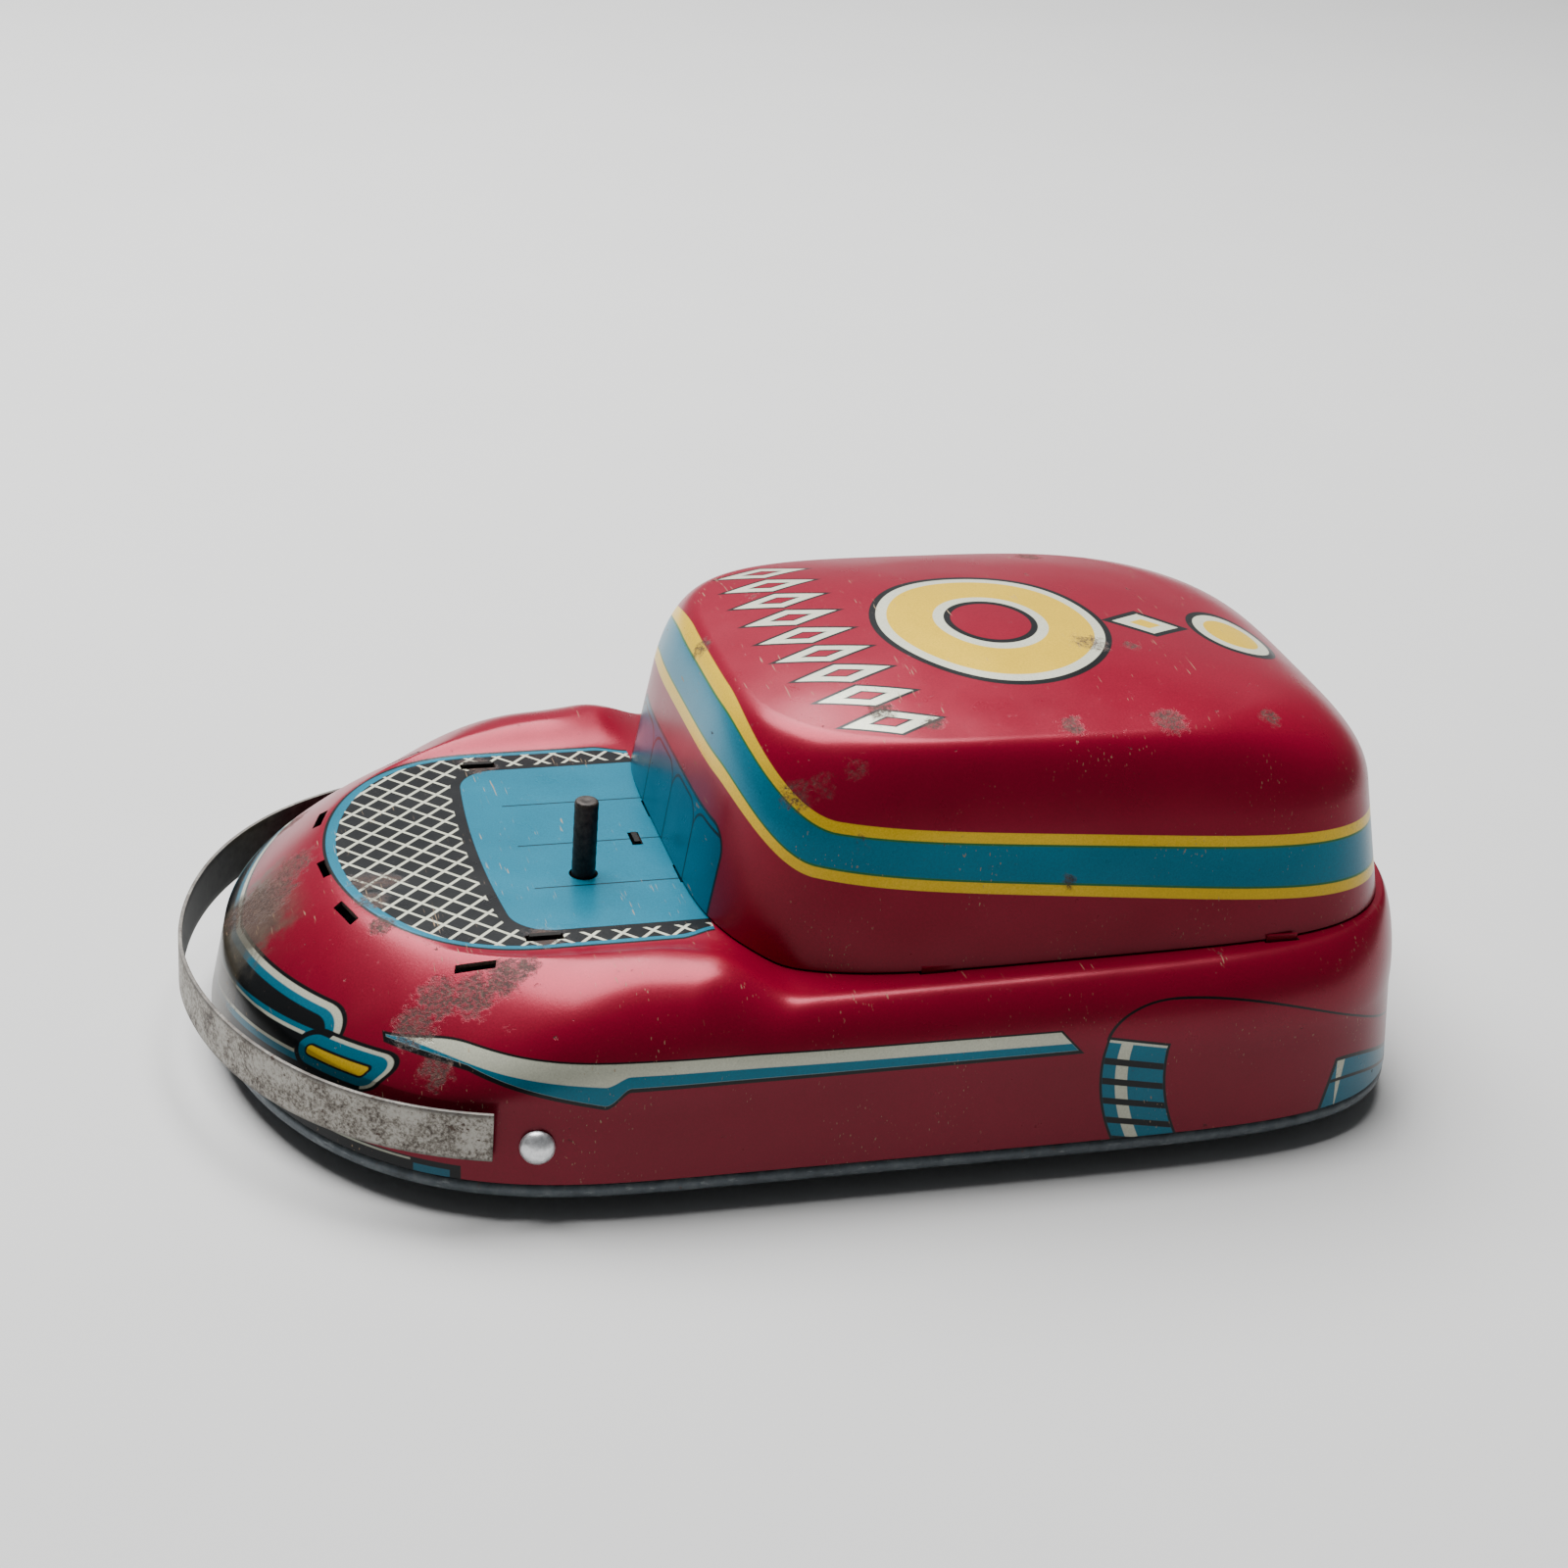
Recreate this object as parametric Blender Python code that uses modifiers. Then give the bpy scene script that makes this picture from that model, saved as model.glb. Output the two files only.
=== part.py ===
"""A lithographed tin toy car whose wheels are geared to a spindle standing through its bonnet.

Sizes are in millimetres in the car's own frame: X runs back from the nose, Y across the car,
Z up from the lower edge of the body.  place() turns them into metres in the part's frame, whose
origin is on the ground under the middle of the car.
"""
import math

import bmesh
import bpy
from mathutils import Matrix, Vector

MM = 0.001
GAP = 0.3                    # clearance between neighbouring pieces
TIN = 0.5                    # thickness of the pressed sheet

# Where the car's frame stands in the part's frame
BUMPER_NOSE = -4.0
BODY_LENGTH = 150.0
MIDDLE = (BUMPER_NOSE + BODY_LENGTH) / 2
EDGE_HEIGHT = 5.0            # lower edge of the body above the ground

# Plans: front end, widest station, rear end, half-width, front exponents, rear exponents
BODY_PLAN = (0.0, 53.0, BODY_LENGTH, 45.4, (3.09, 1.82), (8.2, 3.7))
WALL_PLAN = (1.6, 53.0, BODY_LENGTH - 0.8, 44.0, (3.09, 1.82), (8.2, 3.7))
CREST_PLAN = (13.4, 56.0, 148.0, 32.5, (2.5, 2.05), (8.0, 3.7))
PANEL_PLAN = (13.9, 38.0, 150.0, 26.6, (2.42, 1.91), (8.0, 4.0))
CAB_PLAN = (56.35, 101.5, 146.65, 36.9, (4.35, 4.35), (4.35, 4.35))
OPENING_INSET = 2.5          # body opening inside the foot of the cab
REAR_CREST_SPREAD = 6.4      # the shoulder is this much wider beside the cab

# Heights
WALL_TOP = (9.2, 11.0)       # top of the leaning wall, front and rear
SHOULDER_POWER = (1.15, 2.0)
PANEL_HEIGHT = 20.6
FENDER_RISE = 2.6
LEDGE_HEIGHT = 20.2
LEDGE_SLOPE = 0.02
CAB_TOP = 50.4
CAB_CROWN = 3.6
CAB_LEAN = (1.9, 2.6, 3.4)             # front, rear, side
CAB_FILLET = (4.6, 15.0, 5.4)          # front, rear, side
CAB_DROP = 10.5                        # height of the fillet
CAB_STATIONS = 44

# Slots for tabs, each (x, y, length, width, angle in degrees)
FRAME_SLOT = (37.0, 23.3, 4.6, 1.4, 0.0)
REAR_FRAME_SLOT = (53.2, 0.0, 1.4, 3.4, 0.0)
OUTER_SLOT = (27.9, 28.0, 4.8, 1.0, 16.0)
CORNER_SLOT = (14.9, 12.4, 4.5, 1.1, 71.0)
NOSE_SLOT = (13.6, -1.9, 1.0, 4.0, 5.0)
CAB_TABS = ((56.7, 8.0), (56.7, -10.0), (82.0, 36.5), (82.0, -36.5), (126.5, 36.5), (126.5, -36.5))
TAB_LENGTH = 4.0
TAB_THICKNESS = 0.3

# Spindle
SPINDLE_X, SPINDLE_Y = 44.8, -8.2
SPINDLE_RADIUS = 1.5
SPINDLE_TOP = 31.0
SPINDLE_FOOT = 10.7
PIVOT_RADIUS = 0.8

# Gear train: module, tooth numbers, shaft places
MODULE = 0.8
PINION_TEETH = 8
CROWN_TEETH = 16
AXLE_TEETH = 14
COUNTER_X, COUNTER_Z = SPINDLE_X, 7.0
CROWN_TOOTH = 1.6            # how far the crown's teeth stand out of its face
MESH_SPREAD = 0.15           # extra centre distance for free running
AXLE_Z = 4.5
SHAFT_RADIUS = 1.0
BORE_RADIUS = 1.35
WHEEL_RADIUS = AXLE_Z + EDGE_HEIGHT
RIM_RADIUS = 7.4
WHEEL_Y = 31.0
WHEEL_WIDTH = 6.0
REAR_X = 118.0

# Gear frame and rear bracket
CHEEK_Y = 23.3
SHEET = 0.8
FRAME_FRONT, FRAME_BACK = 27.5, 53.2
FRAME_BOTTOM, FRAME_TOP = 1.6, 19.3
REAR_CHEEK_Y = 21.0

# Base plate
PLATE_BOTTOM = -2.1
PLATE_TOP = -1.6
BEAD_WIDTH = 1.7
LIP_TOP = 2.5

# Bumper and its rivets
STRIP = (3.2, 9.5)
STRIP_THICKNESS = 0.5
STRIP_END = 27.7
TONGUE_X = 26.2
TONGUE_Z = (3.4, 6.6)
TONGUE_INSET = 2.3
RIVET_X, RIVET_Z = 32.7, 4.9
RIVET_HEAD = 2.1

BLACK_STEEL = (0.055, 0.048, 0.042)
COLOURS = {
    "body_red": ((0.42, 0.018, 0.045), 0.36, 0.55),
    "cab_red": ((0.42, 0.018, 0.045), 0.34, 0.55),
    "base_grey": ((0.13, 0.16, 0.18), 0.5, 0.6),
    "bumper_tin": ((0.42, 0.40, 0.36), 0.55, 0.8),
    "rivet_aluminium": ((0.78, 0.79, 0.80), 0.35, 1.0),
    "dark_steel": (BLACK_STEEL, 0.5, 0.9),
    "zinc_plate": ((0.45, 0.45, 0.43), 0.45, 0.9),
    "gear_brass": ((0.55, 0.42, 0.18), 0.4, 1.0),
    "wheel_tin": ((0.50, 0.50, 0.48), 0.4, 0.9),
    "tyre_rubber": ((0.03, 0.03, 0.03), 0.8, 0.0),
}


def smooth(low, high, value):
    """Ease from 0 to 1 between two stations."""
    t = min(max((value - low) / (high - low), 0.0), 1.0)
    return t * t * (3 - 2 * t)


def mix(a, b, t):
    return a + (b - a) * t


def place(x, y, z):
    """A point of the car in the part's frame, in metres."""
    return Vector(((x - MIDDLE) * MM, y * MM, (z + EDGE_HEIGHT) * MM))


# ---------------------------------------------------------------- plans and heights

def plan_width(plan, x):
    """Half-width of a plan at a station."""
    front, widest, rear, half, ahead, behind = plan
    if x < widest:
        t, (p, q) = (widest - x) / (widest - front), ahead
    else:
        t, (p, q) = (x - widest) / (rear - widest), behind
    return half * max(1 - min(t, 1.0) ** p, 0.0) ** (1 / q)


def inset_plan(plan, inset):
    front, widest, rear, half, ahead, behind = plan
    return front + inset, widest, rear - inset, half - inset, ahead, behind


def half_curve(plan, samples=360):
    """The +Y half of a plan, from the rear round to the nose."""
    front, widest, rear, half, ahead, behind = plan
    points = []
    for i in range(samples + 1):
        angle = math.pi * i / samples
        c, s = abs(math.cos(angle)), max(math.sin(angle), 0.0)
        if angle < math.pi / 2:
            x, y = widest + (rear - widest) * c ** (2 / behind[0]), half * s ** (2 / behind[1])
        else:
            x, y = widest - (widest - front) * c ** (2 / ahead[0]), half * s ** (2 / ahead[1])
        points.append((x, y))
    return points


def even_points(points, count):
    """Points at equal steps along a polyline, both ends included."""
    lengths = [0.0]
    for a, b in zip(points, points[1:]):
        lengths.append(lengths[-1] + math.dist(a, b))
    out, j = [], 0
    for i in range(count + 1):
        goal = lengths[-1] * i / count
        while j < len(points) - 2 and lengths[j + 1] < goal:
            j += 1
        t = (goal - lengths[j]) / (lengths[j + 1] - lengths[j])
        out.append((mix(points[j][0], points[j + 1][0], t), mix(points[j][1], points[j + 1][1], t)))
    return out


SPLIT_X = 66.0               # stations behind and ahead of this are spaced separately
REAR_STEPS, FRONT_STEPS = 15, 17


def ring(plan, widen=None):
    """A whole plan as matched stations, rear centre to nose and back along -Y."""
    curve = half_curve(plan)
    split = max(i for i, (x, y) in enumerate(curve) if x >= SPLIT_X)
    half = even_points(curve[:split + 1], REAR_STEPS)[:-1] + even_points(curve[split:], FRONT_STEPS)
    if widen:
        half = [(x, widen(x, y)) for x, y in half]
    half[0], half[-1] = (half[0][0], 0.0), (half[-1][0], 0.0)
    return half + [(x, -y) for x, y in half[-2:0:-1]]


def widen_crest(x, y):
    return y * (1 + REAR_CREST_SPREAD / CREST_PLAN[3] * smooth(48, 67, x))


def ledge_z(x):
    return LEDGE_HEIGHT + LEDGE_SLOPE * (x - 100)


def crest_z(x):
    front = PANEL_HEIGHT - 0.4 + 0.3 * smooth(0, 30, x) + FENDER_RISE * smooth(20, 50, x)
    return mix(front, ledge_z(x) + GAP, smooth(55, 64.5, x))


def top_z(x, y):
    """Height of the bonnet, the fender crests and the ledge round the cab."""
    middle = mix(PANEL_HEIGHT + 0.01 * (x - PANEL_PLAN[0]), ledge_z(x), smooth(57, 66, x))
    panel = plan_width(PANEL_PLAN, max(x, PANEL_PLAN[0]))
    crest = widen_crest(x, plan_width(CREST_PLAN, x))
    return mix(middle, crest_z(x), smooth(panel, max(crest, panel + 1), abs(y)))


# ---------------------------------------------------------------- building helpers

def collection(name):
    made = bpy.data.collections.new(name)
    bpy.context.scene.collection.children.link(made)
    return made


def clear_scene():
    for old in list(bpy.data.objects):
        bpy.data.objects.remove(old, do_unlink=True)


clear_scene()
PARTS = collection("tin_toy_car")
CUTTERS = collection("cutters")


def material(name):
    made = bpy.data.materials.get(name)
    if made is None:
        made = bpy.data.materials.new(name)
        made.use_nodes = True
        colour, roughness, metallic = COLOURS[name]
        shader = made.node_tree.nodes["Principled BSDF"]
        shader.inputs["Base Color"].default_value = (*colour, 1)
        shader.inputs["Roughness"].default_value = roughness
        shader.inputs["Metallic"].default_value = metallic
    return made


def new_object(name, mesh, finish=None):
    """Link a mesh as a part, or as a cutter when it has no finish."""
    made = bpy.data.objects.new(name, mesh)
    if finish:
        mesh.materials.append(material(finish))
        mesh.shade_smooth()
        mesh.set_sharp_from_angle(angle=math.radians(35))
        PARTS.objects.link(made)
    else:
        made.hide_render = True
        made.display_type = "WIRE"
        CUTTERS.objects.link(made)
    return made


def mesh_from(bm, name):
    bmesh.ops.recalc_face_normals(bm, faces=bm.faces)
    mesh = bpy.data.meshes.new(name)
    bm.to_mesh(mesh)
    bm.free()
    return mesh


def loft(bm, rings, ends=(False, False)):
    """Join matched closed rings of points with quads; ends says which rings get a cap."""
    loops = [[bm.verts.new(point) for point in points] for points in rings]
    for a, b in zip(loops, loops[1:]):
        for i in range(len(a)):
            j = (i + 1) % len(a)
            bm.faces.new((a[i], a[j], b[j], b[i]))
    for wanted, loop in zip(ends, (loops[0], loops[-1])):
        if wanted:
            bm.faces.new(loop)
    return loops


def box_mesh(name, boxes):
    """Boxes given as (centre, size, turn about Z in degrees), in the car's frame."""
    bm = bmesh.new()
    for centre, size, turn in boxes:
        matrix = Matrix.Translation(place(*centre)) @ Matrix.Rotation(math.radians(turn), 4, "Z")
        matrix = matrix @ Matrix.Diagonal((size[0] * MM, size[1] * MM, size[2] * MM, 1))
        bmesh.ops.create_cube(bm, size=1.0, matrix=matrix)
    return mesh_from(bm, name)


def rod_mesh(name, rods, sides=24):
    """Cylinders given as (centre, axis, radius, length), in the car's frame."""
    bm = bmesh.new()
    for centre, axis, radius, length in rods:
        turn = Vector(axis).to_track_quat("Z", "Y").to_matrix().to_4x4()
        bmesh.ops.create_cone(bm, cap_ends=True, segments=sides, radius1=radius * MM,
                              radius2=radius * MM, depth=length * MM,
                              matrix=Matrix.Translation(place(*centre)) @ turn)
    return mesh_from(bm, name)


def boolean(target, other, operation):
    step = target.modifiers.new(operation.lower(), "BOOLEAN")
    step.operation = operation
    step.solver = "EXACT"
    step.object = other


def plate_mesh(name, loops, low, high):
    """A flat outline with its holes, filled and given a thickness along its own Z, in metres."""
    curve = bpy.data.curves.new(name, "CURVE")
    curve.dimensions = "2D"
    curve.fill_mode = "BOTH"
    curve.extrude = (high - low) / 2 * MM
    for loop in loops:
        spline = curve.splines.new("POLY")
        spline.points.add(len(loop) - 1)
        for point, (x, y) in zip(spline.points, loop):
            point.co = (x * MM, y * MM, 0, 1)
        spline.use_cyclic_u = True
    holder = bpy.data.objects.new(name, curve)
    CUTTERS.objects.link(holder)
    graph = bpy.context.evaluated_depsgraph_get()
    mesh = bpy.data.meshes.new_from_object(holder.evaluated_get(graph))
    bpy.data.objects.remove(holder, do_unlink=True)
    bm = bmesh.new()
    bm.from_mesh(mesh)
    bpy.data.meshes.remove(mesh)
    bmesh.ops.remove_doubles(bm, verts=bm.verts, dist=0.00001)
    bmesh.ops.translate(bm, verts=bm.verts, vec=(0, 0, (low + high) / 2 * MM))
    return mesh_from(bm, name)


def circle(radius, count=24):
    return [(radius * math.cos(2 * math.pi * i / count), radius * math.sin(2 * math.pi * i / count))
            for i in range(count)]


def turned(name, profile, centre, axis, finish, closed=False, steps=24):
    """A profile of (radius, height) pairs turned about an axis through centre."""
    mesh = bpy.data.meshes.new(name)
    count = len(profile)
    edges = [(i, i + 1) for i in range(count - 1)] + ([(count - 1, 0)] if closed else [])
    mesh.from_pydata([(r * MM, 0, h * MM) for r, h in profile], edges, [])
    made = new_object(name, mesh, finish)
    made.location = place(*centre)
    made.rotation_mode = "QUATERNION"
    made.rotation_quaternion = Vector(axis).to_track_quat("Z", "Y")
    screw = made.modifiers.new("turn", "SCREW")
    screw.steps = screw.render_steps = steps
    screw.use_merge_vertices = True
    screw.merge_threshold = 0.00001
    screw.use_smooth_shade = True
    return made


def rod_profile(radius, low, high, chamfer=0.15):
    return [(0, high), (radius - chamfer, high), (radius, high - chamfer),
            (radius, low + chamfer), (radius - chamfer, low), (0, low)]


def tube_profile(inner, outer, low, high):
    return [(inner, high), (outer, high), (outer, low), (inner, low)]


# ---------------------------------------------------------------- pressed shells

def wall_rings():
    """Body rings from the lower edge up the wall and over the shoulder to the crest."""
    base, wall, crest = ring(BODY_PLAN), ring(WALL_PLAN), ring(CREST_PLAN, widen_crest)
    rings = []
    for t in (0.0, 0.5, 1.0):
        rings.append([place(mix(a[0], b[0], t), mix(a[1], b[1], t),
                            t * mix(*WALL_TOP, smooth(50, 72, a[0]))) for a, b in zip(base, wall)])
    for i in range(1, 7):
        angle = math.pi / 2 * i / 6
        points = []
        for a, b in zip(wall, crest):
            low = mix(*WALL_TOP, smooth(50, 72, a[0]))
            power = 2 / mix(*SHOULDER_POWER, smooth(18, 42, a[0]))
            inward = 1 - max(math.cos(angle), 0.0) ** power
            rise = math.sin(angle) ** power
            points.append(place(mix(a[0], b[0], inward), mix(a[1], b[1], inward),
                                mix(low, crest_z(b[0]), rise)))
        rings.append(points)
    return rings


def top_rings():
    """Body rings from the crest over the bonnet and ledge to the opening under the cab."""
    crest, hole = ring(CREST_PLAN, widen_crest), ring(inset_plan(CAB_PLAN, OPENING_INSET))
    rings = []
    for t in (0.1, 0.24, 0.42, 0.66, 1.0):
        points = []
        for a, b in zip(crest, hole):
            x, y = mix(a[0], b[0], t), mix(a[1], b[1], t)
            points.append(place(x, y, top_z(x, y)))
        rings.append(points)
    return rings


def slot_boxes():
    boxes = []
    for x, y, length, width, turn in (FRAME_SLOT, OUTER_SLOT, CORNER_SLOT):
        for side in (1, -1):
            boxes.append(((x, side * y, 19.0), (length, width, 8.0), side * turn))
    for x, y, length, width, turn in (REAR_FRAME_SLOT, NOSE_SLOT):
        boxes.append(((x, y, 19.0), (length, width, 8.0), turn))
    for x, y in CAB_TABS:
        along = (TAB_LENGTH + 2 * GAP, TAB_THICKNESS + 2 * GAP)
        size = along[::-1] if x < SPLIT_X else along
        boxes.append(((x, y, 20.5), (*size, 4.0), 0.0))
    for side in (1, -1):
        width = plan_width(BODY_PLAN, TONGUE_X)
        boxes.append(((TONGUE_X, side * (width - 1), sum(TONGUE_Z) / 2), (1.3, 5.0, 3.8), 0.0))
    return boxes


def rivet_axis(side):
    """Outward direction of the leaning body wall at the rivet."""
    slope = plan_width(BODY_PLAN, RIVET_X + 1) - plan_width(BODY_PLAN, RIVET_X - 1)
    lean = (plan_width(BODY_PLAN, RIVET_X) - plan_width(WALL_PLAN, RIVET_X)) / WALL_TOP[0]
    return Vector((-slope / 2, side, lean)).normalized()


def rivet_foot(side, inset):
    """A point on the rivet's axis, so far in from the body's lower outline."""
    point = Vector((RIVET_X, side * plan_width(BODY_PLAN, RIVET_X), RIVET_Z))
    return point - rivet_axis(side) * inset


def body_shell():
    bm = bmesh.new()
    loft(bm, wall_rings() + top_rings())
    body = new_object("body_shell", mesh_from(bm, "body_shell"), "body_red")
    skin = body.modifiers.new("sheet", "SOLIDIFY")
    skin.thickness = TIN * MM
    skin.offset = -1
    slots = new_object("body_slots", box_mesh("body_slots", slot_boxes()))
    holes = [((SPINDLE_X, SPINDLE_Y, 20), (0, 0, 1), SPINDLE_RADIUS + GAP, 6)]
    for side in (1, -1):
        holes.append((rivet_foot(side, 1), rivet_axis(side), BORE_RADIUS, 8))
    round_holes = new_object("body_holes", rod_mesh("body_holes", holes))
    boolean(body, slots, "DIFFERENCE")
    boolean(body, round_holes, "DIFFERENCE")


def cab_level(front, rear, side, power, height):
    """One closed ring of the cab, from its insets and its height function."""
    plan_front, _, plan_rear, half = CAB_PLAN[:4]
    low, high = plan_front + front, plan_rear - rear
    middle, reach = (low + high) / 2, (high - low) / 2
    points = []
    for i in range(CAB_STATIONS):
        angle = 2 * math.pi * (i + 0.5) / CAB_STATIONS
        c, s = math.cos(angle), math.sin(angle)
        x = middle + reach * math.copysign(abs(c) ** (2 / power), c)
        y = (half - side) * math.copysign(abs(s) ** (2 / power), s)
        points.append(place(x, y, height(x, y)))
    return points


def fillet_arc(wall_slope, reach, crown_slope):
    """Start and end angles of the elliptical fillet that joins a leaning wall to the crown."""
    start, end = 0.3, 1.4
    for _ in range(60):
        ratio = CAB_DROP / reach * (math.cos(start) - math.cos(end)) / (math.sin(end) - math.sin(start))
        start, end = math.atan(ratio * wall_slope), math.atan(ratio / crown_slope)
    return start, end


def fillet_inward(start, end, rise):
    """How far in the fillet has come at a share of its rise."""
    height = mix(math.sin(start), math.sin(end), rise)
    return (math.cos(start) - math.sqrt(1 - height ** 2)) / (math.cos(start) - math.cos(end))


def cab_shell():
    eaves = CAB_TOP - CAB_CROWN - CAB_DROP
    slopes = [lean / (eaves - LEDGE_HEIGHT) for lean in CAB_LEAN]
    long_way = (CAB_PLAN[2] - CAB_PLAN[0] - sum(CAB_LEAN[:2]) - sum(CAB_FILLET[:2])) / 2
    ways = (long_way, long_way, CAB_PLAN[3] - CAB_LEAN[2] - CAB_FILLET[2])
    arcs = [fillet_arc(slope, reach, 2 * CAB_CROWN / way)
            for slope, reach, way in zip(slopes, CAB_FILLET, ways)]
    power = CAB_PLAN[4][0]
    rings = []
    for t in (0.0, 0.35, 0.7, 1.0):
        lean = [part * t for part in CAB_LEAN]
        rings.append(cab_level(*lean, power, lambda x, y, t=t: mix(top_z(x, y) + GAP, eaves, t)))
    for i in range(1, 7):
        rise = math.sin(math.pi / 2 * i / 6)
        inward = [fillet_inward(*arc, rise) for arc in arcs]
        lean = [a + b * c for a, b, c in zip(CAB_LEAN, CAB_FILLET, inward)]
        level = eaves + CAB_DROP * rise
        rings.append(cab_level(*lean, mix(power, 3.5, inward[2]), lambda x, y, z=level: z))
    rim = rings[-1]
    centre = sum(rim, Vector()) / len(rim)
    for t in (0.2, 0.45, 0.72):
        rise = Vector((0, 0, CAB_CROWN * MM * (1 - (1 - t) ** 2)))
        rings.append([point.lerp(centre, t) + rise for point in rim])
    bm = bmesh.new()
    loops = loft(bm, rings)
    peak = bm.verts.new(centre + Vector((0, 0, CAB_CROWN * MM)))
    last = loops[-1]
    for i, vert in enumerate(last):
        bm.faces.new((vert, last[(i + 1) % len(last)], peak))
    cab = new_object("cab_shell", mesh_from(bm, "cab_shell"), "cab_red")
    skin = cab.modifiers.new("sheet", "SOLIDIFY")
    skin.thickness = TIN * MM
    skin.offset = -1
    boxes = []
    for x, y in CAB_TABS:
        along = (TAB_LENGTH, TAB_THICKNESS)
        size = along[::-1] if x < SPLIT_X else along
        top = top_z(x, y) + GAP + 0.5
        boxes.append(((x, y, top - 1.6), (*size, 3.2), 0.0))
    tabs = new_object("cab_tabs", box_mesh("cab_tabs", boxes))
    boolean(cab, tabs, "UNION")


def base_plate():
    """A shallow tray: a floor with a bead round it and a lip that stands inside the body."""
    section = ((0.3, PLATE_BOTTOM), (0.0, PLATE_BOTTOM + 0.2), (0.0, -GAP - 0.2), (0.3, -GAP),
               (BEAD_WIDTH, -GAP), (BEAD_WIDTH, LIP_TOP), (BEAD_WIDTH + TIN, LIP_TOP),
               (BEAD_WIDTH + TIN, PLATE_TOP))
    bm = bmesh.new()
    rings = [[place(x, y, z) for x, y in ring(inset_plan(BODY_PLAN, inset))] for inset, z in section]
    loft(bm, rings, ends=(True, True))
    plate = new_object("base_plate", mesh_from(bm, "base_plate"), "base_grey")
    boxes = []
    for x in (drive_x(), REAR_X):
        for side in (1, -1):
            boxes.append(((x, side * WHEEL_Y, PLATE_TOP), (18.6, WHEEL_WIDTH + 2.2, 4.0), 0.0))
    boxes.append(((drive_x(), AXLE_GEAR_Y, PLATE_TOP), (10.0, 4.4, 4.0), 0.0))
    windows = new_object("base_windows", box_mesh("base_windows", boxes))
    rods = [((REAR_X + dx, 0, PLATE_TOP), (0, 0, 1), BORE_RADIUS, 4) for dx in RIVET_OFFSETS]
    holes = new_object("base_holes", rod_mesh("base_holes", rods, sides=16))
    boolean(plate, windows, "DIFFERENCE")
    boolean(plate, holes, "DIFFERENCE")


# ---------------------------------------------------------------- bumper

def strip_outline(samples=26):
    """The bumper's plan: a spring strip standing off the nose and closing on the sides."""
    centre = (BUMPER_NOSE + STRIP_THICKNESS / 2, 53.0, BODY_LENGTH, 45.4, (3.09, 1.82), (8.2, 3.7))
    half = [(x, y) for x, y in half_curve(centre, 1440)[720:] if x <= STRIP_END]
    half = even_points(half, samples)
    half[-1] = (half[-1][0], 0.0)
    path = half + [(x, -y) for x, y in half[-2::-1]]
    sides = ([], [])
    for i, point in enumerate(path):
        before, after = path[max(i - 1, 0)], path[min(i + 1, len(path) - 1)]
        run = math.dist(before, after)
        normal = ((after[1] - before[1]) / run, (before[0] - after[0]) / run)
        for edge, offset in zip(sides, (STRIP_THICKNESS / 2, -STRIP_THICKNESS / 2)):
            edge.append((point[0] + normal[0] * offset, point[1] + normal[1] * offset))
    return sides[0] + sides[1][::-1]


def tongue_outline(side):
    """A tongue from the strip's end in through the body's slit and back to the rivet."""
    start = plan_width(BODY_PLAN, TONGUE_X) + 0.9
    half = STRIP_THICKNESS / 2
    stations = (TONGUE_X, 29.0, RIVET_X, 35.2)
    inner = [(x, plan_width(BODY_PLAN, x) - TONGUE_INSET - half) for x in stations]
    outer = [(x, plan_width(BODY_PLAN, x) - TONGUE_INSET + half) for x in stations]
    outer[0] = (TONGUE_X + half, outer[0][1] + 0.05)
    inner[0] = (TONGUE_X - half, inner[0][1])
    loop = [(TONGUE_X - half, start), *inner, *outer[::-1], (TONGUE_X + half, start)]
    return [(x, side * y) for x, y in loop]


def placed(mesh, low_z=0.0):
    """Move a plate drawn in the car's plan into the part's frame."""
    mesh.transform(Matrix.Translation(place(0, 0, low_z)))
    return mesh


def bumper_strip():
    mesh = placed(plate_mesh("bumper_strip", [strip_outline()], *STRIP))
    strip = new_object("bumper_strip", mesh, "bumper_tin")
    for side, name in ((1, "right"), (-1, "left")):
        mesh = placed(plate_mesh(f"bumper_tongue_{name}", [tongue_outline(side)], *TONGUE_Z))
        tongue = new_object(f"bumper_tongue_{name}", mesh)
        boolean(strip, tongue, "UNION")
    rods = [(rivet_foot(side, TONGUE_INSET), rivet_axis(side), BORE_RADIUS, 3) for side in (1, -1)]
    holes = new_object("bumper_holes", rod_mesh("bumper_holes", rods, sides=16))
    boolean(strip, holes, "DIFFERENCE")


def rivets():
    shank_end = -TONGUE_INSET - 1.8
    seat = -0.5
    dome = [(RIVET_HEAD * math.cos(math.radians(a)), seat + 1.25 * math.sin(math.radians(a)))
            for a in (68, 46, 24, 0)]
    profile = [(0, seat + 1.25), *dome, (SHAFT_RADIUS, seat), (SHAFT_RADIUS, shank_end + 0.9),
               (1.7, shank_end + 0.9), (1.7, shank_end + 0.3), (1.3, shank_end), (0, shank_end)]
    for side, name in ((1, "right"), (-1, "left")):
        foot, axis = rivet_foot(side, 0), rivet_axis(side)
        turned(f"rivet_{name}", profile, foot, axis, "rivet_aluminium", steps=16)


# ---------------------------------------------------------------- gear train

def drive_x():
    """Station of the drive axle, from the centre distance of its gears."""
    apart = MODULE * (PINION_TEETH + AXLE_TEETH) / 2 + MESH_SPREAD
    return COUNTER_X - math.sqrt(apart ** 2 - (COUNTER_Z - AXLE_Z) ** 2)


def mesh_angle():
    """Direction from the drive axle to the countershaft, in degrees from +X towards +Z."""
    return math.degrees(math.atan2(COUNTER_Z - AXLE_Z, COUNTER_X - drive_x()))


AXLE_GEAR_Y = 7.5
COUNTER_PINION_Y = 7.5
CROWN_FACE_Y = -3.6
RIVET_OFFSETS = (-7.0, 7.0)


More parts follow.
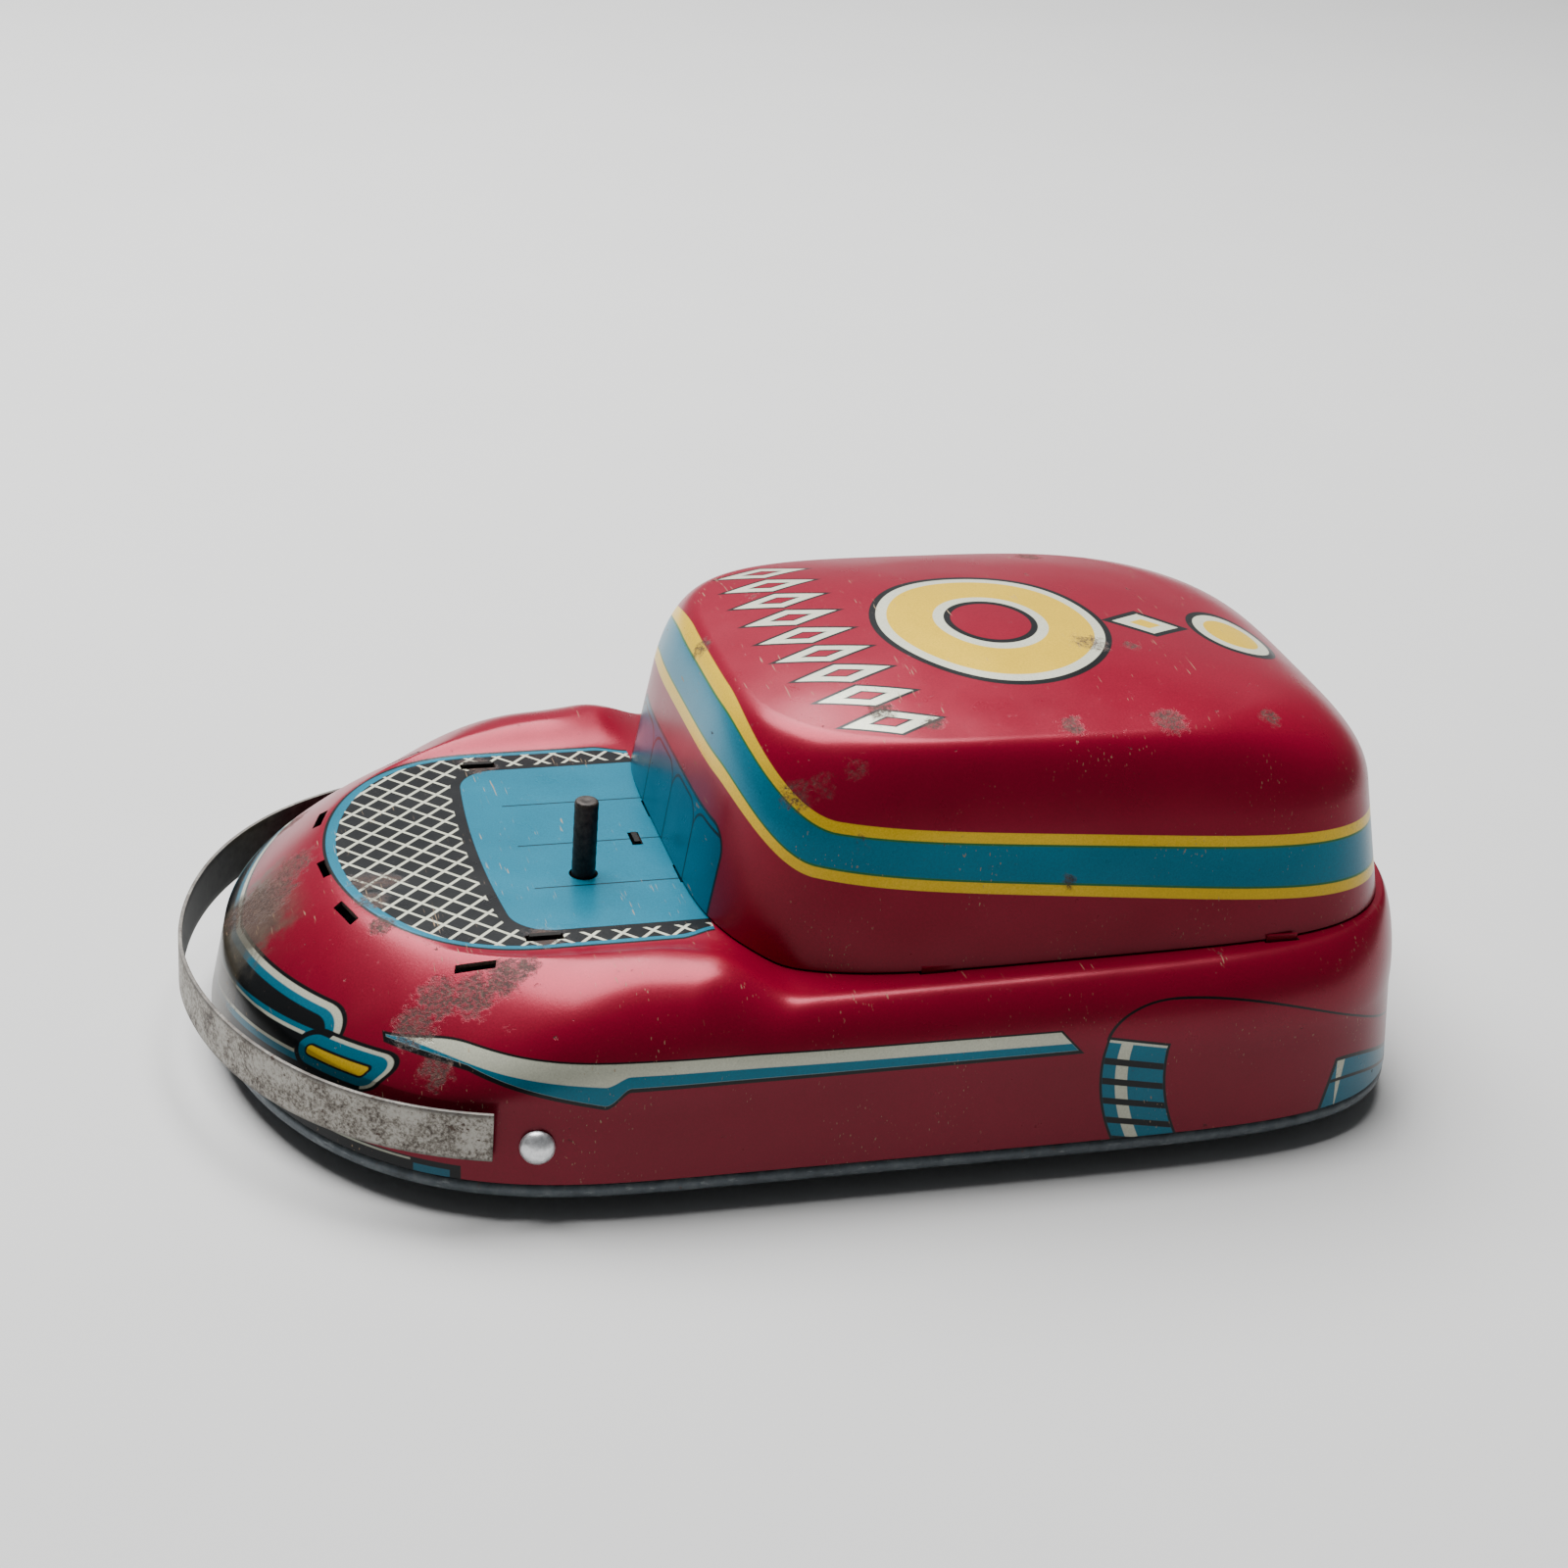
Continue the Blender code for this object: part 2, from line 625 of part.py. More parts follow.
def tooth_loop(teeth, first, root_drop=1.0, tip_rise=0.75, root_width=1.15, tip_width=0.55):
    """A spur outline with straight-sided teeth; first is the angle of one tooth in degrees."""
    pitch = MODULE * teeth / 2
    loop = []
    for i in range(teeth):
        middle = math.radians(first) + 2 * math.pi * i / teeth
        for radius, width in ((pitch - root_drop, -root_width), (pitch + tip_rise, -tip_width),
                              (pitch + tip_rise, tip_width), (pitch - root_drop, root_width)):
            angle = middle + math.asin(width / 2 / radius)
            loop.append((radius * math.cos(angle), radius * math.sin(angle)))
    return loop


def across(x, y, z):
    """Placement of a shape drawn in XY so that its Z runs along the car's +Y."""
    return Matrix.Translation(place(x, y, z)) @ Matrix.Rotation(math.radians(-90), 4, "X")


def spur(name, teeth, first, thickness, centre, bore, finish="gear_brass"):
    """A spur gear on a cross shaft; first is a tooth's angle from +X towards +Z."""
    loops = [tooth_loop(teeth, -first), circle(bore)]
    gear = new_object(name, plate_mesh(name, loops, -thickness / 2, thickness / 2), finish)
    gear.matrix_world = across(*centre)
    return gear


def crown_gear():
    """A disc whose teeth stand out of its -Y face, with a plain hub behind."""
    outer, inner = MODULE * CROWN_TEETH / 2 + 0.8, MODULE * CROWN_TEETH / 2 - 0.7
    hub = [(BORE_RADIUS, 0.0), (inner - 0.4, 0.0), (inner, 0.0), (outer, 0.0)]
    profile = [(BORE_RADIUS, 4.2), (2.6, 4.2), (2.6, 1.0), (outer, 1.0), *hub[::-1]]
    centre = (COUNTER_X, CROWN_FACE_Y, COUNTER_Z)
    crown = turned("crown_gear", profile, centre, (0, 1, 0), "gear_brass", closed=True, steps=32)
    crown.rotation_mode = "XYZ"
    crown.rotation_euler = (math.radians(-90), 0, 0)
    bm = bmesh.new()
    for i in range(CROWN_TEETH):
        angle = math.pi / 2 + 2 * math.pi * (i + 0.5) / CROWN_TEETH
        made = bmesh.ops.create_cube(bm, size=1.0)["verts"]
        for vert in made:
            standing = vert.co.z < 0
            width = 0.5 if standing else 0.95
            length = mix(inner, outer - 0.05, vert.co.x + 0.5)
            vert.co = Vector((length, vert.co.y * width, -CROWN_TOOTH if standing else 0.4)) * MM
        bmesh.ops.rotate(bm, verts=made, cent=(0, 0, 0), matrix=Matrix.Rotation(angle, 3, "Z"))
    teeth = new_object("crown_teeth", mesh_from(bm, "crown_teeth"))
    teeth.matrix_world = across(*centre)
    boolean(crown, teeth, "UNION")


def spindle_group():
    top, foot = SPINDLE_TOP, SPINDLE_FOOT
    profile = [(0, top), (SPINDLE_RADIUS - 0.3, top), (SPINDLE_RADIUS, top - 0.3),
               (SPINDLE_RADIUS, foot), (PIVOT_RADIUS, foot), (PIVOT_RADIUS, foot - 1.4), (0, foot - 1.4)]
    turned("spindle", profile, (SPINDLE_X, SPINDLE_Y, 0), (0, 0, 1), "dark_steel")
    profile = tube_profile(SPINDLE_RADIUS + 0.25, 2.9, 17.4, 19.2)
    turned("spindle_collar", profile, (SPINDLE_X, SPINDLE_Y, 0), (0, 0, 1), "gear_brass", closed=True)
    loops = [tooth_loop(PINION_TEETH, 90, root_drop=0.9), circle(SPINDLE_RADIUS + 0.25)]
    pinion = new_object("spindle_pinion", plate_mesh("spindle_pinion", loops, -0.8, 0.8), "gear_brass")
    pinion.location = place(SPINDLE_X, SPINDLE_Y, COUNTER_Z + MODULE * CROWN_TEETH / 2 + 0.2)


def countershaft_group():
    reach = CHEEK_Y + SHEET / 2 + 1.0
    turned("countershaft", rod_profile(SHAFT_RADIUS, -reach, reach),
           (COUNTER_X, 0, COUNTER_Z), (0, 1, 0), "dark_steel", steps=16)
    crown_gear()
    half_tooth = 180 / PINION_TEETH
    spur("counter_pinion", PINION_TEETH, mesh_angle() + 180 + half_tooth, 3.0,
         (COUNTER_X, COUNTER_PINION_Y, COUNTER_Z), SHAFT_RADIUS + 0.3)


def gear_frame():
    """A strip bent to a U round the gears, with tabs up through the bonnet."""
    half, low, high = SHEET / 2, FRAME_FRONT, FRAME_BACK + SHEET / 2
    outer, inner = CHEEK_Y + half, CHEEK_Y - half
    loop = [(low, outer), (low, inner), (high - SHEET, inner), (high - SHEET, -inner),
            (low, -inner), (low, -outer), (high, -outer), (high, outer)]
    mesh = placed(plate_mesh("gear_frame", [loop], FRAME_BOTTOM, FRAME_TOP))
    frame = new_object("gear_frame", mesh, "zinc_plate")
    tab_top = PANEL_HEIGHT + 0.1
    boxes = [((FRAME_SLOT[0], side * CHEEK_Y, (FRAME_TOP + tab_top) / 2),
              (3.8, SHEET - 0.1, tab_top - FRAME_TOP + 1.0), 0.0) for side in (1, -1)]
    boxes.append(((FRAME_BACK, 0, (FRAME_TOP + tab_top) / 2),
                  (SHEET - 0.1, 2.6, tab_top - FRAME_TOP + 1.0), 0.0))
    step_top = SPINDLE_FOOT - GAP
    boxes.append(((SPINDLE_X, (SPINDLE_Y + 1.8 - CHEEK_Y) / 2, step_top - SHEET / 2),
                  (5.6, CHEEK_Y + SPINDLE_Y + 1.8, SHEET), 0.0))
    tabs = new_object("frame_tabs", box_mesh("frame_tabs", boxes))
    wide = 2 * CHEEK_Y + 10
    rods = [((COUNTER_X, 0, COUNTER_Z), (0, 1, 0), BORE_RADIUS, wide),
            ((drive_x(), 0, AXLE_Z), (0, 1, 0), BORE_RADIUS, wide)]
    bores = new_object("frame_bores", rod_mesh("frame_bores", rods))
    step = [((SPINDLE_X, SPINDLE_Y, step_top), (0, 0, 1), PIVOT_RADIUS + GAP, 4)]
    pivot = new_object("frame_pivot", rod_mesh("frame_pivot", step))
    boolean(frame, tabs, "UNION")
    boolean(frame, bores, "DIFFERENCE")
    boolean(frame, pivot, "DIFFERENCE")


# ---------------------------------------------------------------- wheels

def wheel_set(prefix, x, cheek):
    """An axle with two pressed wheels, their tyres and the spacers that hold them out."""
    half = WHEEL_WIDTH / 2
    reach = WHEEL_Y + half + 0.2
    turned(f"{prefix}_axle", rod_profile(SHAFT_RADIUS, -reach, reach), (x, 0, AXLE_Z), (0, 1, 0),
           "dark_steel", steps=16)
    bore = SHAFT_RADIUS + 0.3
    disc = [(bore, half), (2.6, half), (3.2, 0.9), (6.0, 0.9), (6.4, half - 0.6),
            (RIM_RADIUS, half - 0.6), (RIM_RADIUS, -half + 0.6), (bore, -half + 0.6)]
    tyre = [(RIM_RADIUS + 0.2, half), (WHEEL_RADIUS - 0.7, half), (WHEEL_RADIUS, half - 0.8),
            (WHEEL_RADIUS, -half + 0.8), (WHEEL_RADIUS - 0.7, -half), (RIM_RADIUS + 0.2, -half)]
    start = cheek + SHEET / 2 + GAP
    spacer = tube_profile(bore, 2.2, start, WHEEL_Y - half - GAP)
    for side, name in ((1, "right"), (-1, "left")):
        centre, axis = (x, side * WHEEL_Y, AXLE_Z), (0, side, 0)
        turned(f"{prefix}_wheel_{name}", disc, centre, axis, "wheel_tin", closed=True)
        turned(f"{prefix}_tyre_{name}", tyre, centre, axis, "tyre_rubber", closed=True)
        turned(f"{prefix}_spacer_{name}", spacer, (x, 0, AXLE_Z), axis, "wheel_tin", closed=True, steps=16)


def rear_bracket():
    """A U of sheet riveted to the base plate, carrying the rear axle."""
    half = SHEET / 2
    low, top = PLATE_TOP + GAP, AXLE_Z + 3.2
    outer, inner = REAR_CHEEK_Y + half, REAR_CHEEK_Y - half
    loop = [(-outer, top), (-outer, low), (outer, low), (outer, top),
            (inner, top), (inner, low + SHEET), (-inner, low + SHEET), (-inner, top)]
    mesh = plate_mesh("rear_bracket", [loop], -10, 10)
    upright = Matrix(((0, 0, 1, 0), (1, 0, 0, 0), (0, 1, 0, 0), (0, 0, 0, 1)))
    mesh.transform(Matrix.Translation(place(REAR_X, 0, 0)) @ upright)
    bracket = new_object("rear_bracket", mesh, "zinc_plate")
    rods = [((REAR_X, 0, AXLE_Z), (0, 1, 0), BORE_RADIUS, 60)]
    bores = new_object("bracket_bores", rod_mesh("bracket_bores", rods))
    rods = [((REAR_X + dx, 0, 0), (0, 0, 1), BORE_RADIUS, 8) for dx in RIVET_OFFSETS]
    holes = new_object("bracket_holes", rod_mesh("bracket_holes", rods, sides=16))
    boolean(bracket, bores, "DIFFERENCE")
    boolean(bracket, holes, "DIFFERENCE")
    seat, under = low + SHEET + 0.2, PLATE_BOTTOM - 0.2
    profile = [(0, seat + 0.7), (1.4, seat + 0.6), (1.9, seat), (SHAFT_RADIUS, seat),
               (SHAFT_RADIUS, under), (1.9, under), (1.5, under - 0.5), (0, under - 0.6)]
    for dx, name in zip(RIVET_OFFSETS, ("front", "back")):
        turned(f"bracket_rivet_{name}", profile, (REAR_X + dx, 0, 0), (0, 0, 1), "dark_steel", steps=16)


def main():
    body_shell()
    cab_shell()
    base_plate()
    bumper_strip()
    rivets()
    gear_frame()
    spindle_group()
    countershaft_group()
    wheel_set("drive", drive_x(), CHEEK_Y)
    spur("axle_gear", AXLE_TEETH, mesh_angle(), 2.0, (drive_x(), AXLE_GEAR_Y, AXLE_Z), SHAFT_RADIUS + 0.3)
    wheel_set("rear", REAR_X, REAR_CHEEK_Y)
    rear_bracket()


main()
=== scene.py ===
"""The finished looks of a lithographed tin toy car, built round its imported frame.

Blender works in metres.  The pressed shells and their printing are described in millimetres in
the car's own frame: X runs back from the nose, Y across the car, Z up from the lower edge of the
body.  place() turns such a point into the frame's metres.
"""
import math

import bmesh
import bpy
from mathutils import Matrix, Vector


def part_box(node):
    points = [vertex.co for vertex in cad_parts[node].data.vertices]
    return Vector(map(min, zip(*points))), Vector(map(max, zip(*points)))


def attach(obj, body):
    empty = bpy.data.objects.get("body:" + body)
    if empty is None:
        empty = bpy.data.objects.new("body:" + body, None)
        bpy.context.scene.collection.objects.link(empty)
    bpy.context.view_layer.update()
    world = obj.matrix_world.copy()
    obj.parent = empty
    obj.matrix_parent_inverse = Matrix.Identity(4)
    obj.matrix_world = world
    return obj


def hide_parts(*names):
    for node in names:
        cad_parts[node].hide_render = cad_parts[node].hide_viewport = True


bl_info = {
    "name": "Tin Toy Car",
    "version": (1, 0, 0),
    "blender": (4, 5, 0),
    "location": "View3D > Sidebar > Tin Car",
    "description": "Builds the printed shells, fittings and running gear of a tin toy car",
    "category": "Object",
}

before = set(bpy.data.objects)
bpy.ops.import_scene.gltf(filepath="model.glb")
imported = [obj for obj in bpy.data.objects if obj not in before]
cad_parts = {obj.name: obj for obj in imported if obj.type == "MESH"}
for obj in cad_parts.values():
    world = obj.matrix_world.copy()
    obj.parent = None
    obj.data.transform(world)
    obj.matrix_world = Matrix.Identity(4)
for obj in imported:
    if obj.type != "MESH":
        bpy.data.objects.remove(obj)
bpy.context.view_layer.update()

MM = 0.001
GAP = 0.3
SHELL_LOW, SHELL_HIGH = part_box("body_shell")
NOSE, EDGE = SHELL_LOW.x, SHELL_LOW.z
LENGTH = (SHELL_HIGH.x - SHELL_LOW.x) / MM
HALF = SHELL_HIGH.y / MM

# Plans: front end, widest station, rear end, half-width, front exponents, rear exponents
BODY_PLAN = (0.0, 53.0, LENGTH, HALF, (3.09, 1.82), (8.2, 3.7))
WALL_PLAN = (1.6, 53.0, LENGTH - 0.8, HALF - 1.4, (3.09, 1.82), (8.2, 3.7))
CREST_PLAN = (13.4, 56.0, LENGTH - 2.0, 32.5, (2.5, 2.05), (8.0, 3.7))
PANEL_PLAN = (13.9, 38.0, LENGTH, 26.6, (2.42, 1.91), (8.0, 4.0))
CAB_PLAN = (56.35, 101.5, 146.65, 36.9, (4.35, 4.35), (4.35, 4.35))
OPENING_INSET = 2.5
REAR_CREST_SPREAD = 6.4
REAR_STATIONS, NOSE_STATIONS, CAB_STATIONS = 15, 17, 24
WALL_STEPS, SHOULDER_STEPS, TOP_STEPS = 6, 24, 24
CAB_WALL_STEPS, CAB_FILLET_STEPS, CAB_CROWN_STEPS = 12, 24, 16
WALL_TOP = (9.2, 11.0)
SHOULDER_POWER = (1.15, 2.0)
PANEL_HEIGHT = 20.6
FENDER_RISE = 2.6
LEDGE_HEIGHT, LEDGE_SLOPE = 20.2, 0.02
CAB_TOP, CAB_CROWN, CAB_DROP = 50.4, 3.6, 10.5
CAB_LEAN = (1.9, 2.6, 3.4)
CAB_FILLET = (4.6, 15.0, 5.4)
SPLIT_X = 66.0

# Slots and tabs, each (x, y, length, width, turn in degrees)
SLOTS = ((37.0, 23.3, 4.6, 1.4, 0.0), (37.0, -23.3, 4.6, 1.4, 0.0), (53.2, 0.0, 1.4, 3.4, 0.0),
         (27.9, 28.0, 4.8, 1.0, 16.0), (27.9, -28.0, 4.8, 1.0, -16.0), (14.9, 12.4, 4.5, 1.1, 71.0),
         (14.9, -12.4, 4.5, 1.1, -71.0), (13.6, -1.9, 1.0, 4.0, 5.0))
CAB_TABS = ((56.7, 8.0), (56.7, -10.0), (82.0, 36.5), (82.0, -36.5), (126.5, 36.5), (126.5, -36.5))
TONGUE_X, TONGUE_Z, TONGUE_INSET = 26.2, (3.4, 6.6), 2.3
RIVET_X, RIVET_Z, RIVET_BORE = 32.7, 4.9, 1.35
SPINDLE_BORE = 1.8
STRIP_END = 27.7
BEAD_WIDTH, BEAD_DEPTH, LIP_TOP, TRAY_SHEET = 1.7, 0.55, 2.5, 0.5
SHARP_ANGLE = 38.0
LACQUER_METAL = 0.3


def smooth(low, high, value):
    t = min(max((value - low) / (high - low), 0.0), 1.0)
    return t * t * (3 - 2 * t)


def mix(a, b, t):
    return a + (b - a) * t


def place(x, y, z):
    """A point of the car in the frame, in metres."""
    return Vector((NOSE + x * MM, y * MM, EDGE + z * MM))


def car_point(point):
    """The other way: a point of the frame in the car's millimetres."""
    return Vector(((point.x - NOSE) / MM, point.y / MM, (point.z - EDGE) / MM))


# ---------------------------------------------------------------- plans and heights

def plan_width(plan, x):
    front, widest, rear, half, ahead, behind = plan
    if x < widest:
        t, (p, q) = (widest - x) / (widest - front), ahead
    else:
        t, (p, q) = (x - widest) / (rear - widest), behind
    return half * max(1 - min(t, 1.0) ** p, 0.0) ** (1 / q)


def inset_plan(plan, inset):
    front, widest, rear, half, ahead, behind = plan
    return front + inset, widest, rear - inset, half - inset, ahead, behind


def half_curve(plan, samples=1440):
    """The +Y half of a plan, from the rear round to the nose."""
    front, widest, rear, half, ahead, behind = plan
    points = []
    for i in range(samples + 1):
        angle = math.pi * i / samples
        c, s = abs(math.cos(angle)), max(math.sin(angle), 0.0)
        if angle < math.pi / 2:
            points.append((widest + (rear - widest) * c ** (2 / behind[0]), half * s ** (2 / behind[1])))
        else:
            points.append((widest - (widest - front) * c ** (2 / ahead[0]), half * s ** (2 / ahead[1])))
    return points


def even_points(points, count):
    """Points at equal steps along a polyline, both ends included."""
    lengths = [0.0]
    for a, b in zip(points, points[1:]):
        lengths.append(lengths[-1] + math.dist(a, b))
    out, j = [], 0
    for i in range(count + 1):
        goal = lengths[-1] * i / count
        while j < len(points) - 2 and lengths[j + 1] < goal:
            j += 1
        t = (goal - lengths[j]) / (lengths[j + 1] - lengths[j])
        out.append((mix(points[j][0], points[j + 1][0], t), mix(points[j][1], points[j + 1][1], t)))
    return out


def whole(half):
    """Both halves of a plan as one closed list."""
    half[0], half[-1] = (half[0][0], 0.0), (half[-1][0], 0.0)
    return half + [(x, -y) for x, y in half[-2:0:-1]]


def ring(plan, density, widen=None):
    """A whole plan as matched stations, rear centre to nose and back along -Y."""
    curve = half_curve(plan)
    split = max(i for i, (x, y) in enumerate(curve) if x >= SPLIT_X)
    half = even_points(curve[:split + 1], REAR_STATIONS * density)[:-1]
    half += even_points(curve[split:], NOSE_STATIONS * density)
    if widen:
        half = [(x, widen(x, y)) for x, y in half]
    return whole(half)


def widen_crest(x, y):
    return y * (1 + REAR_CREST_SPREAD / CREST_PLAN[3] * smooth(48, 67, x))


def ledge_z(x):
    return LEDGE_HEIGHT + LEDGE_SLOPE * (x - 100)


def crest_z(x):
    front = PANEL_HEIGHT - 0.4 + 0.3 * smooth(0, 30, x) + FENDER_RISE * smooth(20, 50, x)
    return mix(front, ledge_z(x) + GAP, smooth(55, 64.5, x))


def wall_z(x):
    """Height of the body wall where it turns into the shoulder."""
    return mix(*WALL_TOP, smooth(50, 72, x))


def top_z(x, y):
    """Height of the bonnet, the fender crests and the ledge round the cab."""
    middle = mix(PANEL_HEIGHT + 0.01 * (x - PANEL_PLAN[0]), ledge_z(x), smooth(57, 66, x))
    panel = plan_width(PANEL_PLAN, max(x, PANEL_PLAN[0]))
    crest = widen_crest(x, plan_width(CREST_PLAN, x))
    return mix(middle, crest_z(x), smooth(panel, max(crest, panel + 1), abs(y)))


# ---------------------------------------------------------------- mesh making

def new_piece(name, bm, finishes, angle=SHARP_ANGLE):
    """Link a bmesh as a piece with its finishes; what isn't sharper than angle is smooth."""
    mesh = bpy.data.meshes.new(name)
    bm.to_mesh(mesh)
    bm.free()
    for finish in finishes:
        mesh.materials.append(finish)
    mesh.shade_smooth()
    mesh.set_sharp_from_angle(angle=math.radians(angle))
    piece = bpy.data.objects.new(name, mesh)
    bpy.context.scene.collection.objects.link(piece)
    return piece


def ordered_loop(bm, count):
    """The vertices of a fresh circle in order round it."""
    start = bmesh.ops.create_circle(bm, segments=count, radius=1.0)["verts"][0]
    loop = [start, start.link_edges[0].other_vert(start)]
    while len(loop) < count:
        last = loop[-1]
        loop.append(next(edge.other_vert(last) for edge in last.link_edges
                         if edge.other_vert(last) is not loop[-2]))
    return loop


def skin(rings, peak=None):
    """Draw a surface up from a circle, ring by ring, and close its end where a peak is given."""
    bm = bmesh.new()
    loop = ordered_loop(bm, len(rings[0]))
    for vert, point in zip(loop, rings[0]):
        vert.co = point
    for points in rings[1:] + ([rings[-1]] if peak is not None else []):
        edges = [bm.edges.get(pair) for pair in zip(loop, loop[1:] + loop[:1])]
        made = bmesh.ops.extrude_edge_only(bm, edges=edges)["geom"]
        fresh = {item for item in made if isinstance(item, bmesh.types.BMVert)}
        loop = [next(edge.other_vert(vert) for edge in vert.link_edges
                     if edge.other_vert(vert) in fresh) for vert in loop]
        for vert, point in zip(loop, points):
            vert.co = point
    if peak is not None:
        bmesh.ops.pointmerge(bm, verts=loop, merge_co=peak)
    return bm


def face_outwards(bm, centre):
    """Turn an open sheet's faces away from a point inside it."""
    bmesh.ops.recalc_face_normals(bm, faces=bm.faces)
    outward = sum((face.calc_center_median() - centre).dot(face.normal) * face.calc_area()
                  for face in bm.faces)
    if outward < 0:
        bmesh.ops.reverse_faces(bm, faces=bm.faces)


def cutter(boxes=(), rods=(), cut=0):
    """Boxes (centre, size, turn about Z) and rods (centre, axis, radius, length) to cut with."""
    bm = bmesh.new()
    for centre, size, turn in boxes:
        matrix = Matrix.Translation(place(*centre)) @ Matrix.Rotation(math.radians(turn), 4, "Z")
        matrix = matrix @ Matrix.Diagonal((*(part * MM for part in size), 1))
        bmesh.ops.create_cube(bm, size=1.0, matrix=matrix)
    for centre, axis, radius, length in rods:
        turn = Vector(axis).to_track_quat("Z", "Y").to_matrix().to_4x4()
        bmesh.ops.create_cone(bm, cap_ends=True, segments=48, radius1=radius * MM, radius2=radius * MM,
                              depth=length * MM, matrix=Matrix.Translation(place(*centre)) @ turn)
    for face in bm.faces:
        face.material_index = cut
    return new_piece("cutter", bm, [])


def sheet(piece, thickness, steps):
    """Give a surface its thickness, cut or join it with helpers, and keep the result as its mesh."""
    wall = piece.modifiers.new("wall", "SOLIDIFY")
    wall.thickness = thickness
    wall.offset = -1
    wall.material_offset = wall.material_offset_rim = 1
    finish_mesh(piece, steps)


def finish_mesh(piece, steps=()):
    """Apply a piece's modifiers and its boolean steps to its mesh."""
    for operation, helper in steps:
        step = piece.modifiers.new(operation.lower(), "BOOLEAN")
        step.operation = operation
        step.solver = "EXACT"
        step.object = helper
    graph = bpy.context.evaluated_depsgraph_get()
    made = bpy.data.meshes.new_from_object(piece.evaluated_get(graph))
    piece.modifiers.clear()
    old, piece.data = piece.data, made
    bpy.data.meshes.remove(old)
    for operation, helper in steps:
        bpy.data.objects.remove(helper, do_unlink=True)
    made.shade_smooth()
    made.set_sharp_from_angle(angle=math.radians(SHARP_ANGLE))


def turned(name, profile, centre, axis, finish, steps=64):
    """Spin a profile of (radius, height) pairs round an axis through a point of the car."""
    bm = bmesh.new()
    verts = [bm.verts.new((radius * MM, 0, height * MM)) for radius, height in profile]
    edges = [bm.edges.new(pair) for pair in zip(verts, verts[1:])]
    if profile[0][0] > 0 or profile[-1][0] > 0:
        edges.append(bm.edges.new((verts[-1], verts[0])))
    bmesh.ops.spin(bm, geom=verts + edges, cent=(0, 0, 0), axis=(0, 0, 1), angle=2 * math.pi,
                   steps=steps, use_merge=True)
    bmesh.ops.remove_doubles(bm, verts=bm.verts, dist=0.000001)
    bmesh.ops.recalc_face_normals(bm, faces=bm.faces)
    turn = Vector(axis).to_track_quat("Z", "Y").to_matrix().to_4x4()
    bmesh.ops.transform(bm, matrix=Matrix.Translation(place(*centre)) @ turn, verts=bm.verts)
    return new_piece(name, bm, [finish])


def settle(piece, body, slot, *nodes):
    """Let a finished piece ride on its body in place of the nodes it stands for."""
    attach(piece, body)
    if nodes:
        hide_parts(*nodes)


# ---------------------------------------------------------------- shader arithmetic

class Wire:
    """A shader socket that takes part in ordinary arithmetic through Math nodes."""

    def __init__(self, finish, socket):
        self.finish, self.socket = finish, socket

    def math(self, operation, *others):
        return self.finish.node("Math", {"operation": operation}, (self, *others))

    def __add__(self, other):
        return self.math("ADD", other)

    __radd__ = __add__

    def __mul__(self, other):
        return self.math("MULTIPLY", other)

    __rmul__ = __mul__

    def __sub__(self, other):
        return self.math("SUBTRACT", other)

    def __rsub__(self, other):
        return self.finish.node("Math", {"operation": "SUBTRACT"}, (other, self))

    def __truediv__(self, other):
        return self.math("DIVIDE", other)

    def __pow__(self, other):
        return self.math("POWER", other)

    def __mod__(self, other):
        return self.math("FLOORED_MODULO", other)

    def __abs__(self):
        return self.math("ABSOLUTE")

    def __gt__(self, other):
        return self.math("GREATER_THAN", other)

    def __and__(self, other):
        return self.math("MINIMUM", other)

    def __or__(self, other):
        return self.math("MAXIMUM", other)


